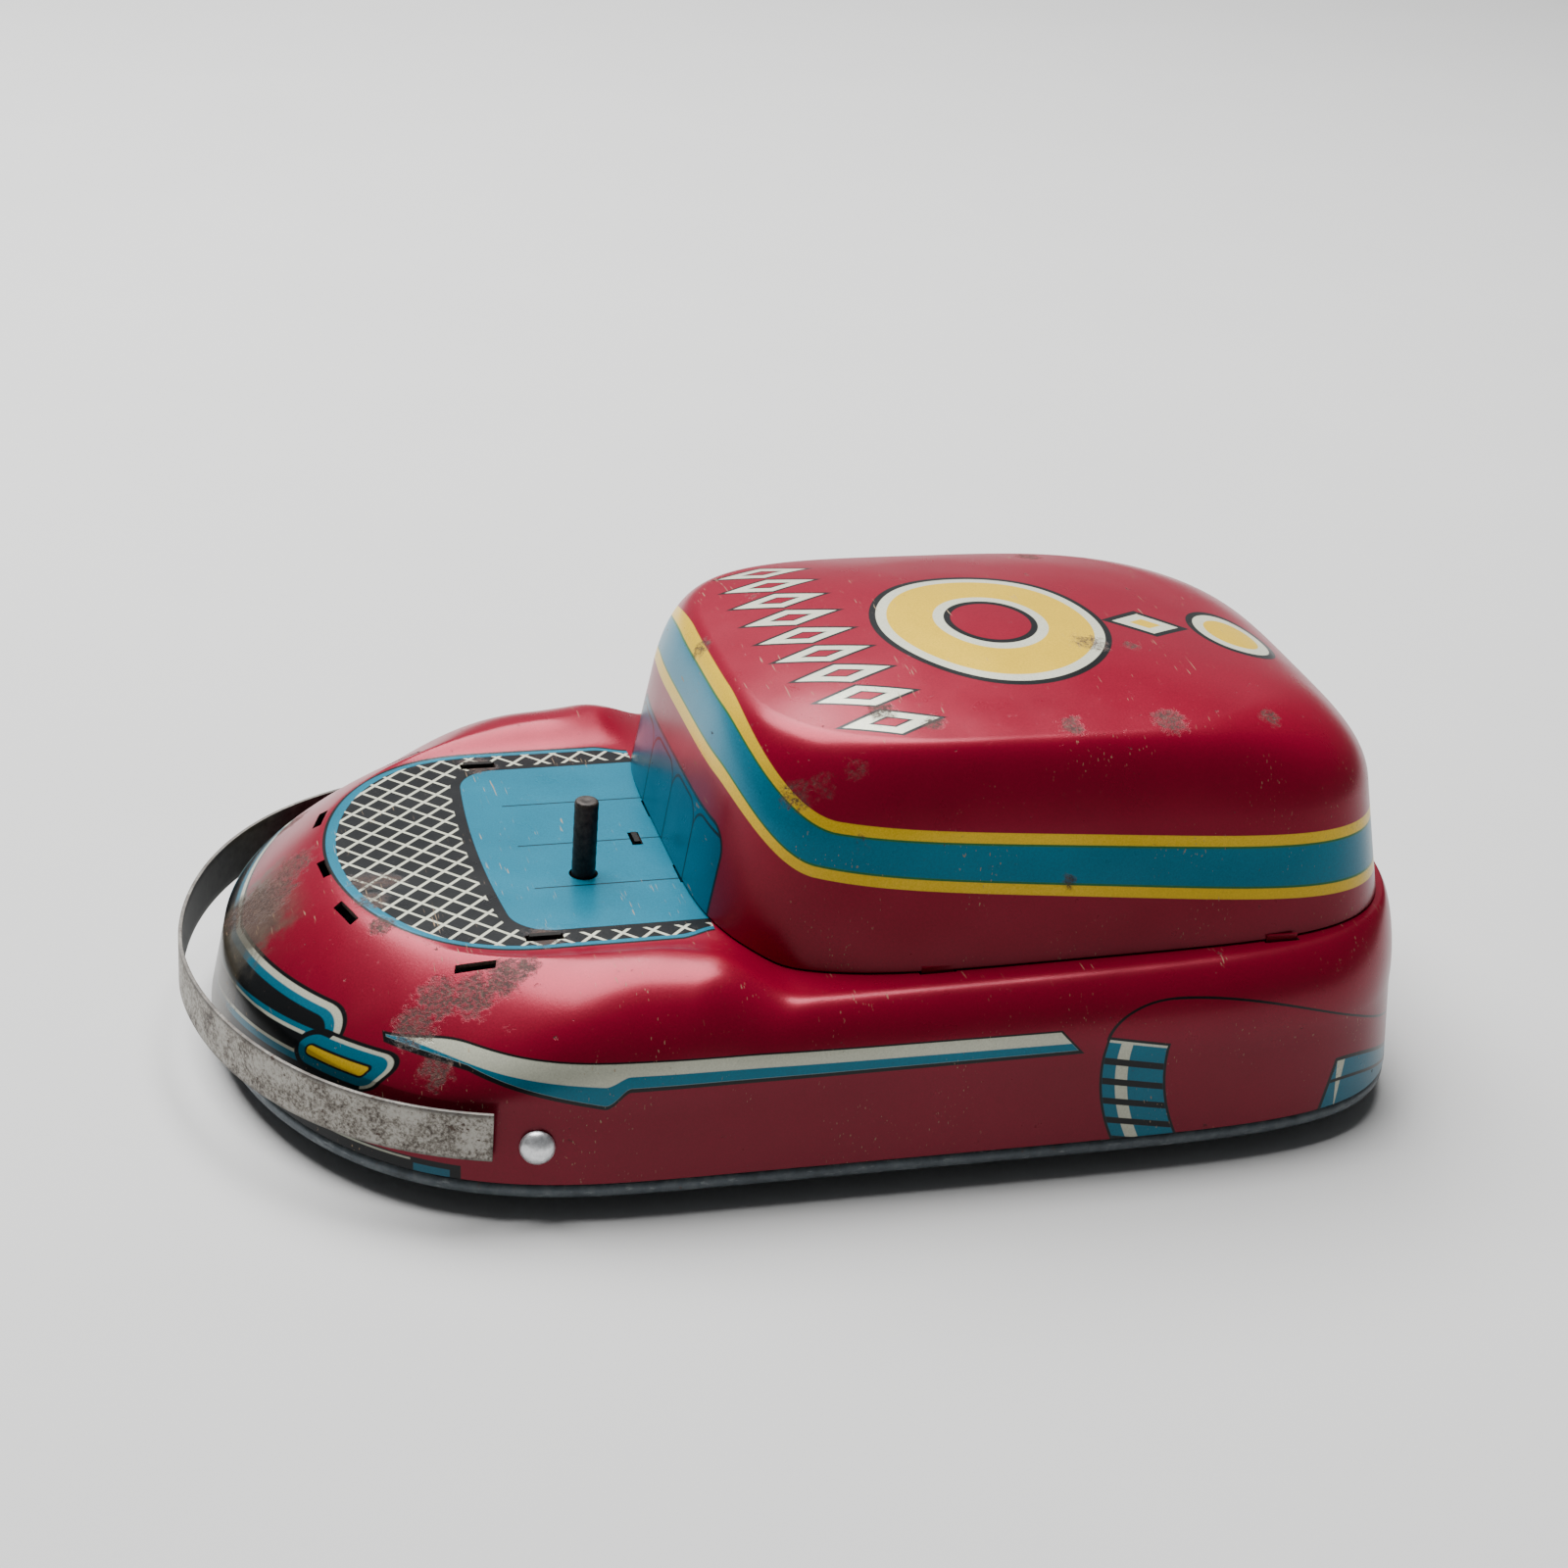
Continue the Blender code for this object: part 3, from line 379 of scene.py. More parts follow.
class Finish:
    """A material being made.  All its nodes come from node()."""

    def __init__(self, name):
        self.material = bpy.data.materials.new(name)
        self.material.use_nodes = True
        self.tree = self.material.node_tree
        self.tree.nodes.clear()
        object_place = self.node("TexCoord", {}, (), "Object")
        self.where = self.node("VectorMath", {"operation": "SCALE"}, {0: object_place, "Scale": 1 / MM})

    def node(self, kind, settings, inputs, output=0):
        """Make a node, give it its settings, then the values or links of its sockets."""
        made = self.tree.nodes.new("ShaderNode" + kind)
        for key, value in settings.items():
            if key != "stops":
                setattr(made, key, value)
                continue
            while len(made.color_ramp.elements) < len(value):
                made.color_ramp.elements.new(0.5)
            for element, (spot, colour) in zip(made.color_ramp.elements, value):
                element.position, element.color = spot, (*colour, 1)
        pairs = inputs.items() if isinstance(inputs, dict) else enumerate(inputs)
        for key, value in pairs:
            if isinstance(value, Wire):
                self.tree.links.new(value.socket, made.inputs[key])
            else:
                made.inputs[key].default_value = value
        return Wire(self, made.outputs[output]) if made.outputs else None

    def ramp(self, amount, *stops):
        """A colour picked along stops, each (position, colour)."""
        return self.node("ValToRGB", {"stops": stops}, (amount,))

    def axes(self):
        """X, Y and Z of the car, in millimetres."""
        x, y, z = [self.node("SeparateXYZ", {}, (self.where,), axis) for axis in "XYZ"]
        return x - NOSE / MM, y, z - EDGE / MM

    def noise(self, size, detail=3.0, roughness=0.5, stretch=(1, 1, 1), turn=(0, 0, 0), shift=(0, 0, 0)):
        """Noise whose features are size millimetres across, near 0 to 1."""
        vector = self.where
        if stretch != (1, 1, 1) or turn != (0, 0, 0) or shift != (0, 0, 0):
            angles = [math.radians(angle) for angle in turn]
            vector = self.node("Mapping", {}, {"Vector": vector, "Location": shift, "Rotation": angles,
                                               "Scale": stretch})
        return self.node("TexNoise", {"noise_dimensions": "3D"},
                         {"Vector": vector, "Scale": 1 / size, "Detail": detail, "Roughness": roughness})

    def step(self, value, low, high):
        """Ease from 0 at low to 1 at high."""
        return self.node("MapRange", {"interpolation_type": "SMOOTHSTEP"}, (value, low, high, 0.0, 1.0))

    def cover(self, distance, soft=0.1):
        """1 where a signed distance in millimetres is negative, with a fine soft edge."""
        return self.node("Math", {"operation": "MULTIPLY_ADD", "use_clamp": True},
                         (distance, -1 / soft, 0.5))

    def blend(self, base, over, amount):
        """Lay one colour over another."""
        base, over = [part if isinstance(part, Wire) else (*part, 1) for part in (base, over)]
        return self.node("Mix", {"data_type": "RGBA"}, {0: amount, 6: base, 7: over}, 2)

    def shade(self, colour, amount):
        """Brighten or darken a colour by a factor."""
        return self.node("VectorMath", {"operation": "SCALE"}, {0: colour, "Scale": amount})

    def level(self, low, high, amount):
        """A number between two others."""
        return amount * (high - low) + low

    def near(self, spots):
        """How close the surface is to the nearest of some spots (x, y, z, radius): 1 at a centre."""
        best = None
        for x, y, z, radius in spots:
            centre = (x + NOSE / MM, y, z + EDGE / MM)
            apart = self.node("VectorMath", {"operation": "DISTANCE"}, (self.where, centre), "Value")
            here = 1 - apart * (1 / radius)
            best = here if best is None else best | here
        return best | 0.0

    def bump(self, height, distance, strength=1.0, under=None):
        inputs = {"Strength": strength, "Distance": distance * MM, "Height": height}
        if under:
            inputs["Normal"] = under
        return self.node("Bump", {}, inputs)

    def close(self, **sockets):
        """Feed the surface shader and return the material."""
        surface = self.node("BsdfPrincipled", {}, {key.replace("_", " "): value
                                                   for key, value in sockets.items()})
        self.node("OutputMaterial", {}, {"Surface": surface})
        return self.material


# ---------------------------------------------------------------- printing

def rounded(finish, across, up, radius):
    """Signed distance to a rounded rectangle, from the overshoots past its core on two axes."""
    corner = ((across | 0.0) ** 2.0 + (up | 0.0) ** 2.0) ** 0.5 - radius
    return corner + ((across | up) & 0.0)


def print_bonnet(finish, colour, inks, x, y, z):
    """The bonnet: a crossed mesh round a plain panel, inside a double outline."""
    side = abs(y)
    front, widest, _, half, (p, q), _ = PANEL_PLAN
    reach = widest - front
    ahead, across = ((widest - x) * (1 / reach)) | 0.0, abs(y - 0.4) * (1 / half)
    level = ahead ** p + across ** q - 1.0
    steep = (ahead ** (p - 1) * (p / reach)) ** 2.0 + (across ** (q - 1) * (q / half)) ** 2.0
    steep = steep ** 0.5
    gap = level / (steep | 0.02) + finish.step(x, 53.0, 58.0) * 1.6
    here = finish.cover(18.6 - z, 0.3) * finish.cover(x - 57.6)
    colour = finish.blend(colour, inks.black_ink, finish.cover(gap) * here)
    colour = finish.blend(colour, inks.turquoise, finish.cover(gap + 0.4) * here)
    field = finish.cover(gap + 1.15 + (1 - finish.step(x, 15.0, 28.0)) * 0.6) * here
    colour = finish.blend(colour, inks.black_ink, field)
    panel = rounded(finish, 37.3 + side * side * 0.003 - x, side - 17.2, 4.5)
    lines = None
    for turned_by, period, through in ((1, 3.877, 18.89), (-1, 3.70, 33.07)):
        along = (x + y * turned_by - through) * (1 / period) + 0.5
        apart = abs(along % 1.0 - 0.5) * (period * math.sqrt(0.5))
        lines = apart if lines is None else lines & apart
    keep_off = finish.level(1.35, 1.0, finish.step(x, 37.0, 41.0))
    mesh = finish.cover(lines - 0.2) * field * finish.cover(keep_off - panel)
    colour = finish.blend(colour, inks.cream, mesh)
    colour = finish.blend(colour, inks.turquoise, finish.cover(panel) * here)
    rules = (side & abs(side - 11.2)) - 0.12
    return finish.blend(colour, inks.black_ink, finish.cover(rules) * finish.cover(38.1 - x) * here
                        * finish.cover(panel))


def print_spear(finish, colour, inks, x, side, z):
    """The long pointed flash along each side, cream over turquoise."""
    top = 14.65 - (1 - finish.step(x, 15.5, 26.0)) * 1.4
    step = finish.step(x, 40.4, 43.6)
    middle = finish.level(1, 0, step) * (13.4 - (x - 22.0) * 0.075) + step * 13.15
    point = 13.2 - (x - 17.5) * 0.03 - ((x - 25.5) | 0.0) * 0.19
    low = (1 - step) * point + step * (11.75 + (x - 44.0) * 0.008)
    ends = (17.2 - x) | (x - 96.3 - (14.2 - z) * 0.95)
    lies = side > 26.0
    whole_flash = ((z - top) | (low - z)) | ends
    outline = finish.cover(((z - top - 0.22) | (low - 0.5 - z)) | (ends - 0.35)) * lies
    colour = finish.blend(colour, inks.black_ink, outline)
    colour = finish.blend(colour, inks.cream, finish.cover(whole_flash) * lies)
    return finish.blend(colour, inks.turquoise, finish.cover(whole_flash | (z - middle)) * lies)


def print_rear_side(finish, colour, inks, x, side, z):
    """Behind: the wheel-arch line, the barred column under it and the corner patch."""
    lies = side > 30.0
    bow = ((((x - 110.5) * (1 / 8.6)) ** 2.0 + ((z - 12.5) * (1 / 5.0)) ** 2.0) ** 0.5 - 1.0) * 6.0
    fall = z - (17.5 - (((x - 110.5) | 0.0) * (1 / 30.0)) ** 1.8 * 8.0)
    front = finish.cover(x - 110.5, 0.02)
    arch = finish.cover(abs(bow) - 0.16) * front * finish.cover(13.2 - z)
    arch = arch | (finish.cover(abs(fall) - 0.16) * (1 - front) * finish.cover(x - 146.0))
    colour = finish.blend(colour, inks.black_ink, arch * lies)
    along = (x - 101.6 - (z - 8.5) * (z - 8.5) * 0.028) * (1 / 7.95)
    height = z + along * 1.5
    column = (abs(along - 0.5) - 0.5) * 7.95 | (height - 13.2)
    colour = finish.blend(colour, inks.black_ink, finish.cover(column - 0.35) * lies)
    colour = finish.blend(colour, inks.turquoise, finish.cover(column) * lies)
    cream = finish.cover((abs(along - 0.31) - 0.1) * 7.95)
    cream = cream | finish.cover(12.9 - height)
    colour = finish.blend(colour, inks.cream, cream * finish.cover(column) * lies)
    bars = abs((height - 10.45) * (1 / 2.6) % 1.0 - 0.5) * 2.6
    bars = finish.cover(0.88 - bars) * finish.cover(column) * lies
    colour = finish.blend(colour, inks.black_ink, bars * finish.cover(height - 12.6))
    patch = (134.4 - (5.8 - z) * 0.35 - x) | (z - 5.8 + (x - 134.0) * (x - 134.0) * 0.026)
    colour = finish.blend(colour, inks.black_ink, finish.cover(patch - 0.5) * lies)
    colour = finish.blend(colour, inks.turquoise, finish.cover(patch) * lies)
    stripe = finish.cover(x - 135.7 + (5.8 - z) * 0.2) * finish.cover(134.4 - x)
    colour = finish.blend(colour, inks.cream, finish.cover(patch) * stripe * lies)
    split = abs(z - 3.3 + (x - 134.0) * (x - 134.0) * 0.02) - 0.22
    return finish.blend(colour, inks.black_ink, finish.cover(split) * finish.cover(patch) * lies)


def print_nose(finish, colour, inks, x, side, z):
    """The grille of curved bars and the small lamps at its ends."""
    lies = finish.cover(x - 26.0)
    raised = z - side * 0.08
    grille = rounded(finish, side - 22.8, raised - 6.8, 5.0)
    colour = finish.blend(colour, inks.black_ink, finish.cover(grille - 0.35) * lies)
    colour = finish.blend(colour, inks.cream, finish.cover(grille) * lies)
    colour = finish.blend(colour, inks.turquoise, finish.cover(grille + 0.6) * lies)
    inner = finish.cover(grille + 1.35) * lies
    colour = finish.blend(colour, inks.black_ink, inner)
    rise = z - side * 0.132
    bar_end = finish.cover(side - 23.6)
    colour = finish.blend(colour, inks.turquoise, finish.cover(abs(rise - 7.4) - 0.42) * inner)
    colour = finish.blend(colour, inks.cream, finish.cover(abs(rise - 7.15) - 0.17) * inner * bar_end)
    low = z - side * 0.16
    colour = finish.blend(colour, inks.turquoise, finish.cover(abs(low - 3.7) - 0.6) * inner)
    colour = finish.blend(colour, inks.cream, finish.cover(abs(low - 4.15) - 0.2) * inner * bar_end)
    upright = finish.cover(abs(side - 23.9) - 0.25) * finish.cover(4.2 - low)
    colour = finish.blend(colour, inks.cream, upright * finish.cover(rise - 7.1) * inner)
    below = finish.cover(low - 2.6) * finish.cover(side - 33.0)
    colour = finish.blend(colour, inks.black_ink, below * lies)
    lamp_z = z - 9.45 - (side - 29.0) * 0.08
    lamp = rounded(finish, abs(side - 28.9) - 3.2, abs(lamp_z) - 0.2, 0.35)
    colour = finish.blend(colour, inks.black_ink, finish.cover(lamp - 1.95) * lies)
    rim = finish.cover(26.6 - side) * (finish.cover(8.7 - z) | finish.cover(32.6 - side))
    colour = finish.blend(colour, inks.cream, finish.cover(lamp - 1.6) * rim * lies)
    colour = finish.blend(colour, inks.turquoise, finish.cover(lamp - 1.25) * lies)
    colour = finish.blend(colour, inks.black_ink, finish.cover(lamp - 0.25) * lies)
    colour = finish.blend(colour, inks.yellow, finish.cover(lamp) * lies)
    block = (abs(side - 31.6) - 1.2) | (abs(z - 6.0) - 0.8)
    colour = finish.blend(colour, inks.cream, finish.cover(block) * lies)
    sill = finish.cover(x - 24.4) * lies
    colour = finish.blend(colour, inks.black_ink, finish.cover(z - 1.6) * sill)
    thread = finish.cover(abs(z - 1.3) - 0.12) * finish.cover(x - 19.0)
    colour = finish.blend(colour, inks.cream, thread * sill * 0.6)
    patch = finish.cover(z - 0.9) * finish.cover(x - 23.2) * finish.cover(19.3 - x)
    colour = finish.blend(colour, inks.turquoise, patch * 0.7)
    smear = finish.noise(2.6, 5.0, 0.65, stretch=(1, 1, 0.5)) + (9.0 - side) * 0.075
    smear = finish.step(smear, 0.42, 0.78) * finish.step(x, 16.0, 9.0) * finish.cover(z - 17.0, 4.0)
    dirt = finish.noise(1.3, 4.0, 0.6, shift=(4, 1, 8))
    dirt = finish.blend((0.028, 0.027, 0.025), (0.15, 0.125, 0.085), dirt)
    return finish.blend(colour, dirt, smear * 0.85)


def print_windscreen(finish, colour, inks, x, y, z):
    """Four arched panes across the front of the cab."""
    side = abs(y)
    lies = finish.cover(x - 64.0)
    glass = rounded(finish, side - 17.9, z - 28.9, 3.2)
    colour = finish.blend(colour, inks.black_ink, finish.cover(glass - 0.42) * lies)
    # Painted shade on the printed glass: it blends from turquoise towards deep blue higher up and towards
    # +Y.
    depth = finish.step(z + y * 0.12, 21.0, 33.0)
    blue = finish.blend(inks.turquoise, inks.deep_blue, depth * 0.75 + 0.1)
    colour = finish.blend(colour, blue, finish.cover(glass) * lies)
    cell = abs((y + 1.0) % 10.9 - 5.45)
    pane = rounded(finish, cell - 2.45, z - 28.3, 3.0)
    frames = finish.cover(abs(pane) - 0.19) * finish.cover(glass)
    return finish.blend(colour, inks.black_ink, frames * lies)


def print_band(finish, colour, inks, x, side, z):
    """The band round the cab: blue between two yellow lines, dark green where the inks overlap."""
    run = x + side * 0.5
    high = 38.0 - (x - 70.0) * 0.072 + (1 - finish.step(run, 66.0, 85.5)) * 7.4
    low = 30.9 - (x - 70.0) * 0.086 + (1 - finish.step(run, 66.5, 83.0)) * 5.6
    edge = abs(z - (high + low) * 0.5) - (high - low) * 0.5
    yellow = finish.level(1.75, 1.3, finish.step(run, 66.0, 84.0))
    colour = finish.blend(colour, inks.yellow, finish.cover(edge))
    colour = finish.blend(colour, inks.green, finish.cover(edge + yellow))
    return finish.blend(colour, inks.turquoise, finish.cover(edge + yellow + 0.28))


def bordered(finish, colour, inks, distance, lies, core):
    """A shape in black outline, cream border and core colour."""
    colour = finish.blend(colour, inks.black_ink, finish.cover(distance) * lies)
    colour = finish.blend(colour, inks.cream, finish.cover(distance + 0.85) * lies)
    return finish.blend(colour, core, finish.cover(distance + 2.2) * lies)


def print_roof(finish, colour, inks, x, y, z):
    """The roof: a ring, a lozenge and a disc behind a row of nine hollow lozenges."""
    lies = finish.cover(42.0 - z)
    radius = ((x - 97.0) ** 2.0 + ((y + 2.5) * 0.95) ** 2.0) ** 0.5
    colour = bordered(finish, colour, inks, abs(radius - 10.2) - 5.1, lies, inks.yellow)
    small = (((x - 131.0) * 0.95) ** 2.0 + ((y + 1.0) * 0.8) ** 2.0) ** 0.5 - 5.6
    colour = bordered(finish, colour, inks, small, lies, inks.yellow)
    drop = (abs(x - 118.4) * (1 / 6.2) + abs(y + 1.8) * (1 / 4.2) - 1.0) * 3.4
    colour = bordered(finish, colour, inks, drop, lies, inks.yellow)
    bowed = x - 73.2 + y * 0.07 - y * y * 0.0045
    cell = abs((y + 27.0) % 5.78 - 2.89)
    lozenge = (abs(bowed) * (1 / 7.0) + cell * (1 / 2.75) - 1.0) * 2.5
    row = finish.cover(abs(y + 1.0) - 26.0) * lies
    colour = finish.blend(colour, inks.black_ink, finish.cover(lozenge) * row)
    colour = finish.blend(colour, inks.cream, finish.cover(lozenge + 0.38) * row)
    colour = finish.blend(colour, inks.black_ink, finish.cover(lozenge + 1.5) * row)
    return finish.blend(colour, inks.crimson, finish.cover(lozenge + 1.75) * row)


# Spots that rust gathers at: x, y, z, radius
BODY_RUST = ((7.7, 0.1, 16.0, 5.5), (10.4, 3.0, 18.2, 4.5), (5.5, 2.0, 13.5, 5.0), (3.0, 4.0, 11.0, 4.0),
             (18.0, -6.4, 20.6, 3.0), (20.9, -6.5, 20.7, 2.6), (18.2, -11.4, 20.5, 3.0),
             (30.7, -30.8, 19.8, 3.6), (27.2, -31.2, 18.1, 4.2), (23.3, -29.7, 17.2, 4.0),
             (20.4, -31.2, 14.4, 4.0), (31.0, -36.2, 15.6, 2.0), (22.5, -36.0, 11.0, 3.4),
             (43.3, -34.3, 20.8, 2.0), (33.5, -30.4, 20.6, 2.6), (37.0, -23.3, 20.8, 3.4),
             (37.0, 23.3, 20.8, 3.4), (18.6, -17.0, 20.3, 2.4), (147.0, -30.0, 1.0, 5.0),
             (12.0, 22.0, 15.0, 4.0), (60.0, 38.0, 19.0, 3.0), (149.0, 10.0, 12.0, 4.0),
             (96.0, 42.0, 15.0, 2.4), (140.0, 36.0, 17.0, 3.4))
CAB_RUST = ((66.1, -26.6, 39.5, 3.4), (69.0, -27.2, 41.0, 3.0), (72.6, -27.6, 43.0, 2.8),
            (73.1, -30.4, 35.5, 2.8), (76.0, -27.0, 44.0, 2.0), (99.3, -26.8, 46.5, 2.6),
            (112.0, -26.5, 46.6, 3.2), (107.0, -29.2, 42.9, 2.0), (126.1, -24.9, 45.8, 2.2),
            (108.0, -9.0, 49.6, 3.4), (113.5, -9.5, 49.2, 1.8), (60.7, 3.5, 46.0, 2.6),
            (77.0, -22.0, 47.9, 2.6), (82.5, -25.0, 47.0, 2.0), (112.0, 25.0, 47.0, 3.0),
            (133.0, -22.0, 42.0, 2.6), (70.0, 14.0, 49.3, 2.2), (144.0, 12.0, 30.0, 3.4),
            (90.0, 33.0, 30.0, 2.2), (98.0, -34.2, 30.0, 1.6))


def lacquered(finish, colour, inks, wear, rust_spots):
    """Age a printed sheet: grain, grime, scratches down to the tin, and rust."""
    grain = finish.noise(0.22, 2.0, 0.6)
    cloud = finish.noise(16.0, 3.0)
    colour = finish.shade(colour, finish.level(0.72, 1.28, grain) * finish.level(0.86, 1.14, cloud))
    blot = finish.noise(1.1, 6.0, 0.68)
    close = finish.near(rust_spots)
    speckle = finish.step(finish.noise(0.42, 3.0, 0.7, shift=(2, 5, 1)), 0.38, 0.6)
    rust = finish.step(close * 0.6 + blot * 0.9, 0.56, 0.82) * (speckle * 0.55 + 0.45) * wear.rust
    pin = finish.noise(1.7, 4.0, 0.7, shift=(31, 7, 3))
    rust = rust | finish.step(pin, 0.69, 0.75) * wear.rust
    scratches = None
    for turn, shift in (((35, 50, 20), 3), ((-40, 35, -62), 17), ((55, -30, 75), 41)):
        line = finish.noise(0.3, 1.0, 0.4, stretch=(1, 0.07, 0.45), turn=turn, shift=(shift, 0, 0))
        scratches = line if scratches is None else scratches | line
    patchy = finish.step(finish.noise(9.0, 2.0, shift=(5, 11, 0)), 0.5, 0.66)
    scratches = finish.step(scratches, 0.73, 0.78) * patchy * wear.scratches
    bare = finish.blend(inks.bare_tin, inks.rust_light, finish.noise(2.4, 2.0))
    colour = finish.blend(colour, bare, scratches)
    brown = finish.ramp(finish.noise(0.7, 5.0, 0.75, shift=(9, 2, 4)), (0.3, inks.rust_dark),
                        (0.55, inks.rust_mid), (0.72, inks.rust_light))
    return finish.blend(colour, brown, rust), rust, scratches


def lacquer_finish(finish, colour, inks, wear, rust_spots):
    """The finish of a printed sheet: worn glossy lacquer over its printing."""
    colour, rust, scratches = lacquered(finish, colour, inks, wear, rust_spots)
    worn = rust | scratches
    roughness = finish.level(0.24, 0.34, finish.noise(5.0, 4.0)) + worn * 0.4
    dents = finish.bump(finish.noise(14.0, 1.0, 0.4, shift=(4, 0, 9)), 0.55, 0.6)
    peel = finish.bump(finish.noise(0.35, 2.0, 0.5), 0.012, 0.5, dents)
    pits = finish.bump(1 - rust, 0.06, 0.8, peel)
    return finish.close(Base_Color=colour, Metallic=LACQUER_METAL * (1 - worn), Roughness=roughness,
                        Specular_IOR_Level=0.22, Coat_Weight=(1 - worn) * 0.07, Coat_Roughness=0.16,
                        Normal=pits)


def body_lacquer(inks, wear):
    finish = Finish("printed_body")
    x, y, z = finish.axes()
    side = abs(y)
    colour = print_bonnet(finish, inks.crimson, inks, x, y, z)
    colour = print_spear(finish, colour, inks, x, side, z)
    colour = print_rear_side(finish, colour, inks, x, side, z)
    colour = print_nose(finish, colour, inks, x, side, z)
    # Painted shade: the printed colour is darkened towards the bottom of the body, down to 0.64 below z 9
    # mm, standing in for the shade on the walls.
    colour = finish.shade(colour, finish.level(0.64, 1.0, finish.step(z, 9.0, 20.0)))
    return lacquer_finish(finish, colour, inks, wear, BODY_RUST)


def cab_lacquer(inks, wear):
    finish = Finish("printed_cab")
    x, y, z = finish.axes()
    colour = print_windscreen(finish, inks.crimson, inks, x, y, z)
    colour = print_band(finish, colour, inks, x, abs(y), z)
    colour = print_roof(finish, colour, inks, x, y, z)
    # Painted shade and painted light: the cab's colour is darkened to 0.8 low on its walls and lifted to
    # 1.06 on the roof.
    colour = finish.shade(colour, finish.level(0.8, 1.06, finish.step(z, 22.0, 40.0)))
    return lacquer_finish(finish, colour, inks, wear, CAB_RUST)


# ---------------------------------------------------------------- plain finishes

def bare_tin():
    """The unprinted inside of the sheet, dull and stained."""
    finish = Finish("bare_tin")
    stain = finish.noise(3.0, 5.0, 0.6)
    colour = finish.ramp(stain, (0.3, (0.12, 0.09, 0.07)), (0.6, (0.33, 0.31, 0.28)))
    return finish.close(Base_Color=colour, Metallic=0.8, Roughness=finish.level(0.45, 0.7, stain),
                        Normal=finish.bump(finish.noise(0.5), 0.02, 0.4))


def cut_edge():
    """The raw rim of the sheet, darkened."""
    finish = Finish("cut_edge")
    stain = finish.noise(0.8, 4.0, 0.6)
    colour = finish.ramp(stain, (0.3, (0.03, 0.02, 0.018)), (0.7, (0.12, 0.07, 0.05)))
    return finish.close(Base_Color=colour, Metallic=0.4, Roughness=0.7)


def base_paint():
    """Grey-blue paint, scuffed pale along the rolled edge and rusting through in places."""
    finish = Finish("base_paint")
    mottle = finish.noise(2.2, 6.0, 0.65)
    colour = finish.ramp(mottle, (0.25, (0.035, 0.043, 0.05)), (0.5, (0.068, 0.084, 0.095)),
                         (0.8, (0.13, 0.15, 0.162)))
    scuff = finish.noise(1.3, 5.0, 0.7, stretch=(0.35, 0.35, 1.6), shift=(3, 8, 1))
    scuff = finish.step(scuff, 0.56, 0.68)
    colour = finish.blend(colour, (0.27, 0.29, 0.3), scuff * 0.5)
    rust = finish.step(finish.noise(1.9, 6.0, 0.72, shift=(13, 2, 6)), 0.63, 0.72)
    colour = finish.blend(colour, (0.09, 0.05, 0.033), rust)
    dents = finish.bump(finish.noise(9.0, 1.0), 0.4, 0.6)
    return finish.close(Base_Color=colour, Metallic=0.35 - rust * 0.3,
                        Roughness=finish.level(0.42, 0.62, mottle) + rust * 0.2, Coat_Weight=0.08,
                        Normal=finish.bump(finish.noise(0.9, 5.0, 0.6), 0.05, 0.5, dents))


def strip_plating():
    """Whitish tin plating worn through to speckled brown steel."""
    finish = Finish("strip_plating")
    _, _, z = finish.axes()
    fine = finish.noise(0.45, 5.0, 0.72)
    broad = finish.noise(3.2, 4.0, 0.6, shift=(2, 9, 5))
    colour = finish.ramp(fine * 0.62 + broad * 0.38, (0.38, (0.045, 0.032, 0.026)),
                         (0.46, (0.17, 0.15, 0.125)), (0.54, (0.37, 0.35, 0.31)),
                         (0.75, (0.5, 0.485, 0.44)))
    edge = finish.step(abs(z - 6.35), 2.5, 3.15)
    colour = finish.blend(colour, (0.05, 0.045, 0.042), edge * finish.step(fine, 0.3, 0.6) * 0.85)
    spots = finish.step(finish.noise(1.5, 3.0, 0.6, shift=(6, 1, 2)), 0.64, 0.7)
    colour = finish.blend(colour, (0.06, 0.035, 0.025), spots)
    return finish.close(Base_Color=colour, Metallic=0.35, Roughness=finish.level(0.45, 0.75, fine),
                        Normal=finish.bump(fine, 0.04, 0.6))


def strip_back():
    """The dark back of the bumper strip."""
    finish = Finish("strip_back")
    mottle = finish.noise(1.6, 5.0, 0.65)
    colour = finish.ramp(mottle, (0.3, (0.018, 0.018, 0.018)), (0.7, (0.075, 0.075, 0.072)))
    return finish.close(Base_Color=colour, Metallic=0.5, Roughness=finish.level(0.4, 0.65, mottle),
                        Normal=finish.bump(mottle, 0.03, 0.5))


def metal(name, dark, light, roughness, size=1.2, metallic=0.9, lines=None, pit=0.02):
    """A plain metal with mottling, and fine turned or drawn lines where asked."""
    finish = Finish(name)
    mottle = finish.noise(size, 5.0, 0.65)
    colour = finish.ramp(mottle, (0.3, dark), (0.68, light))
    height = mottle
    if lines:
        height = mottle * 0.4 + finish.noise(0.15, 2.0, 0.5, stretch=lines) * 0.6
    rough = finish.level(roughness - 0.08, roughness + 0.14, mottle)
    return finish.close(Base_Color=colour, Metallic=metallic, Roughness=rough,
                        Normal=finish.bump(height, pit, 0.6))


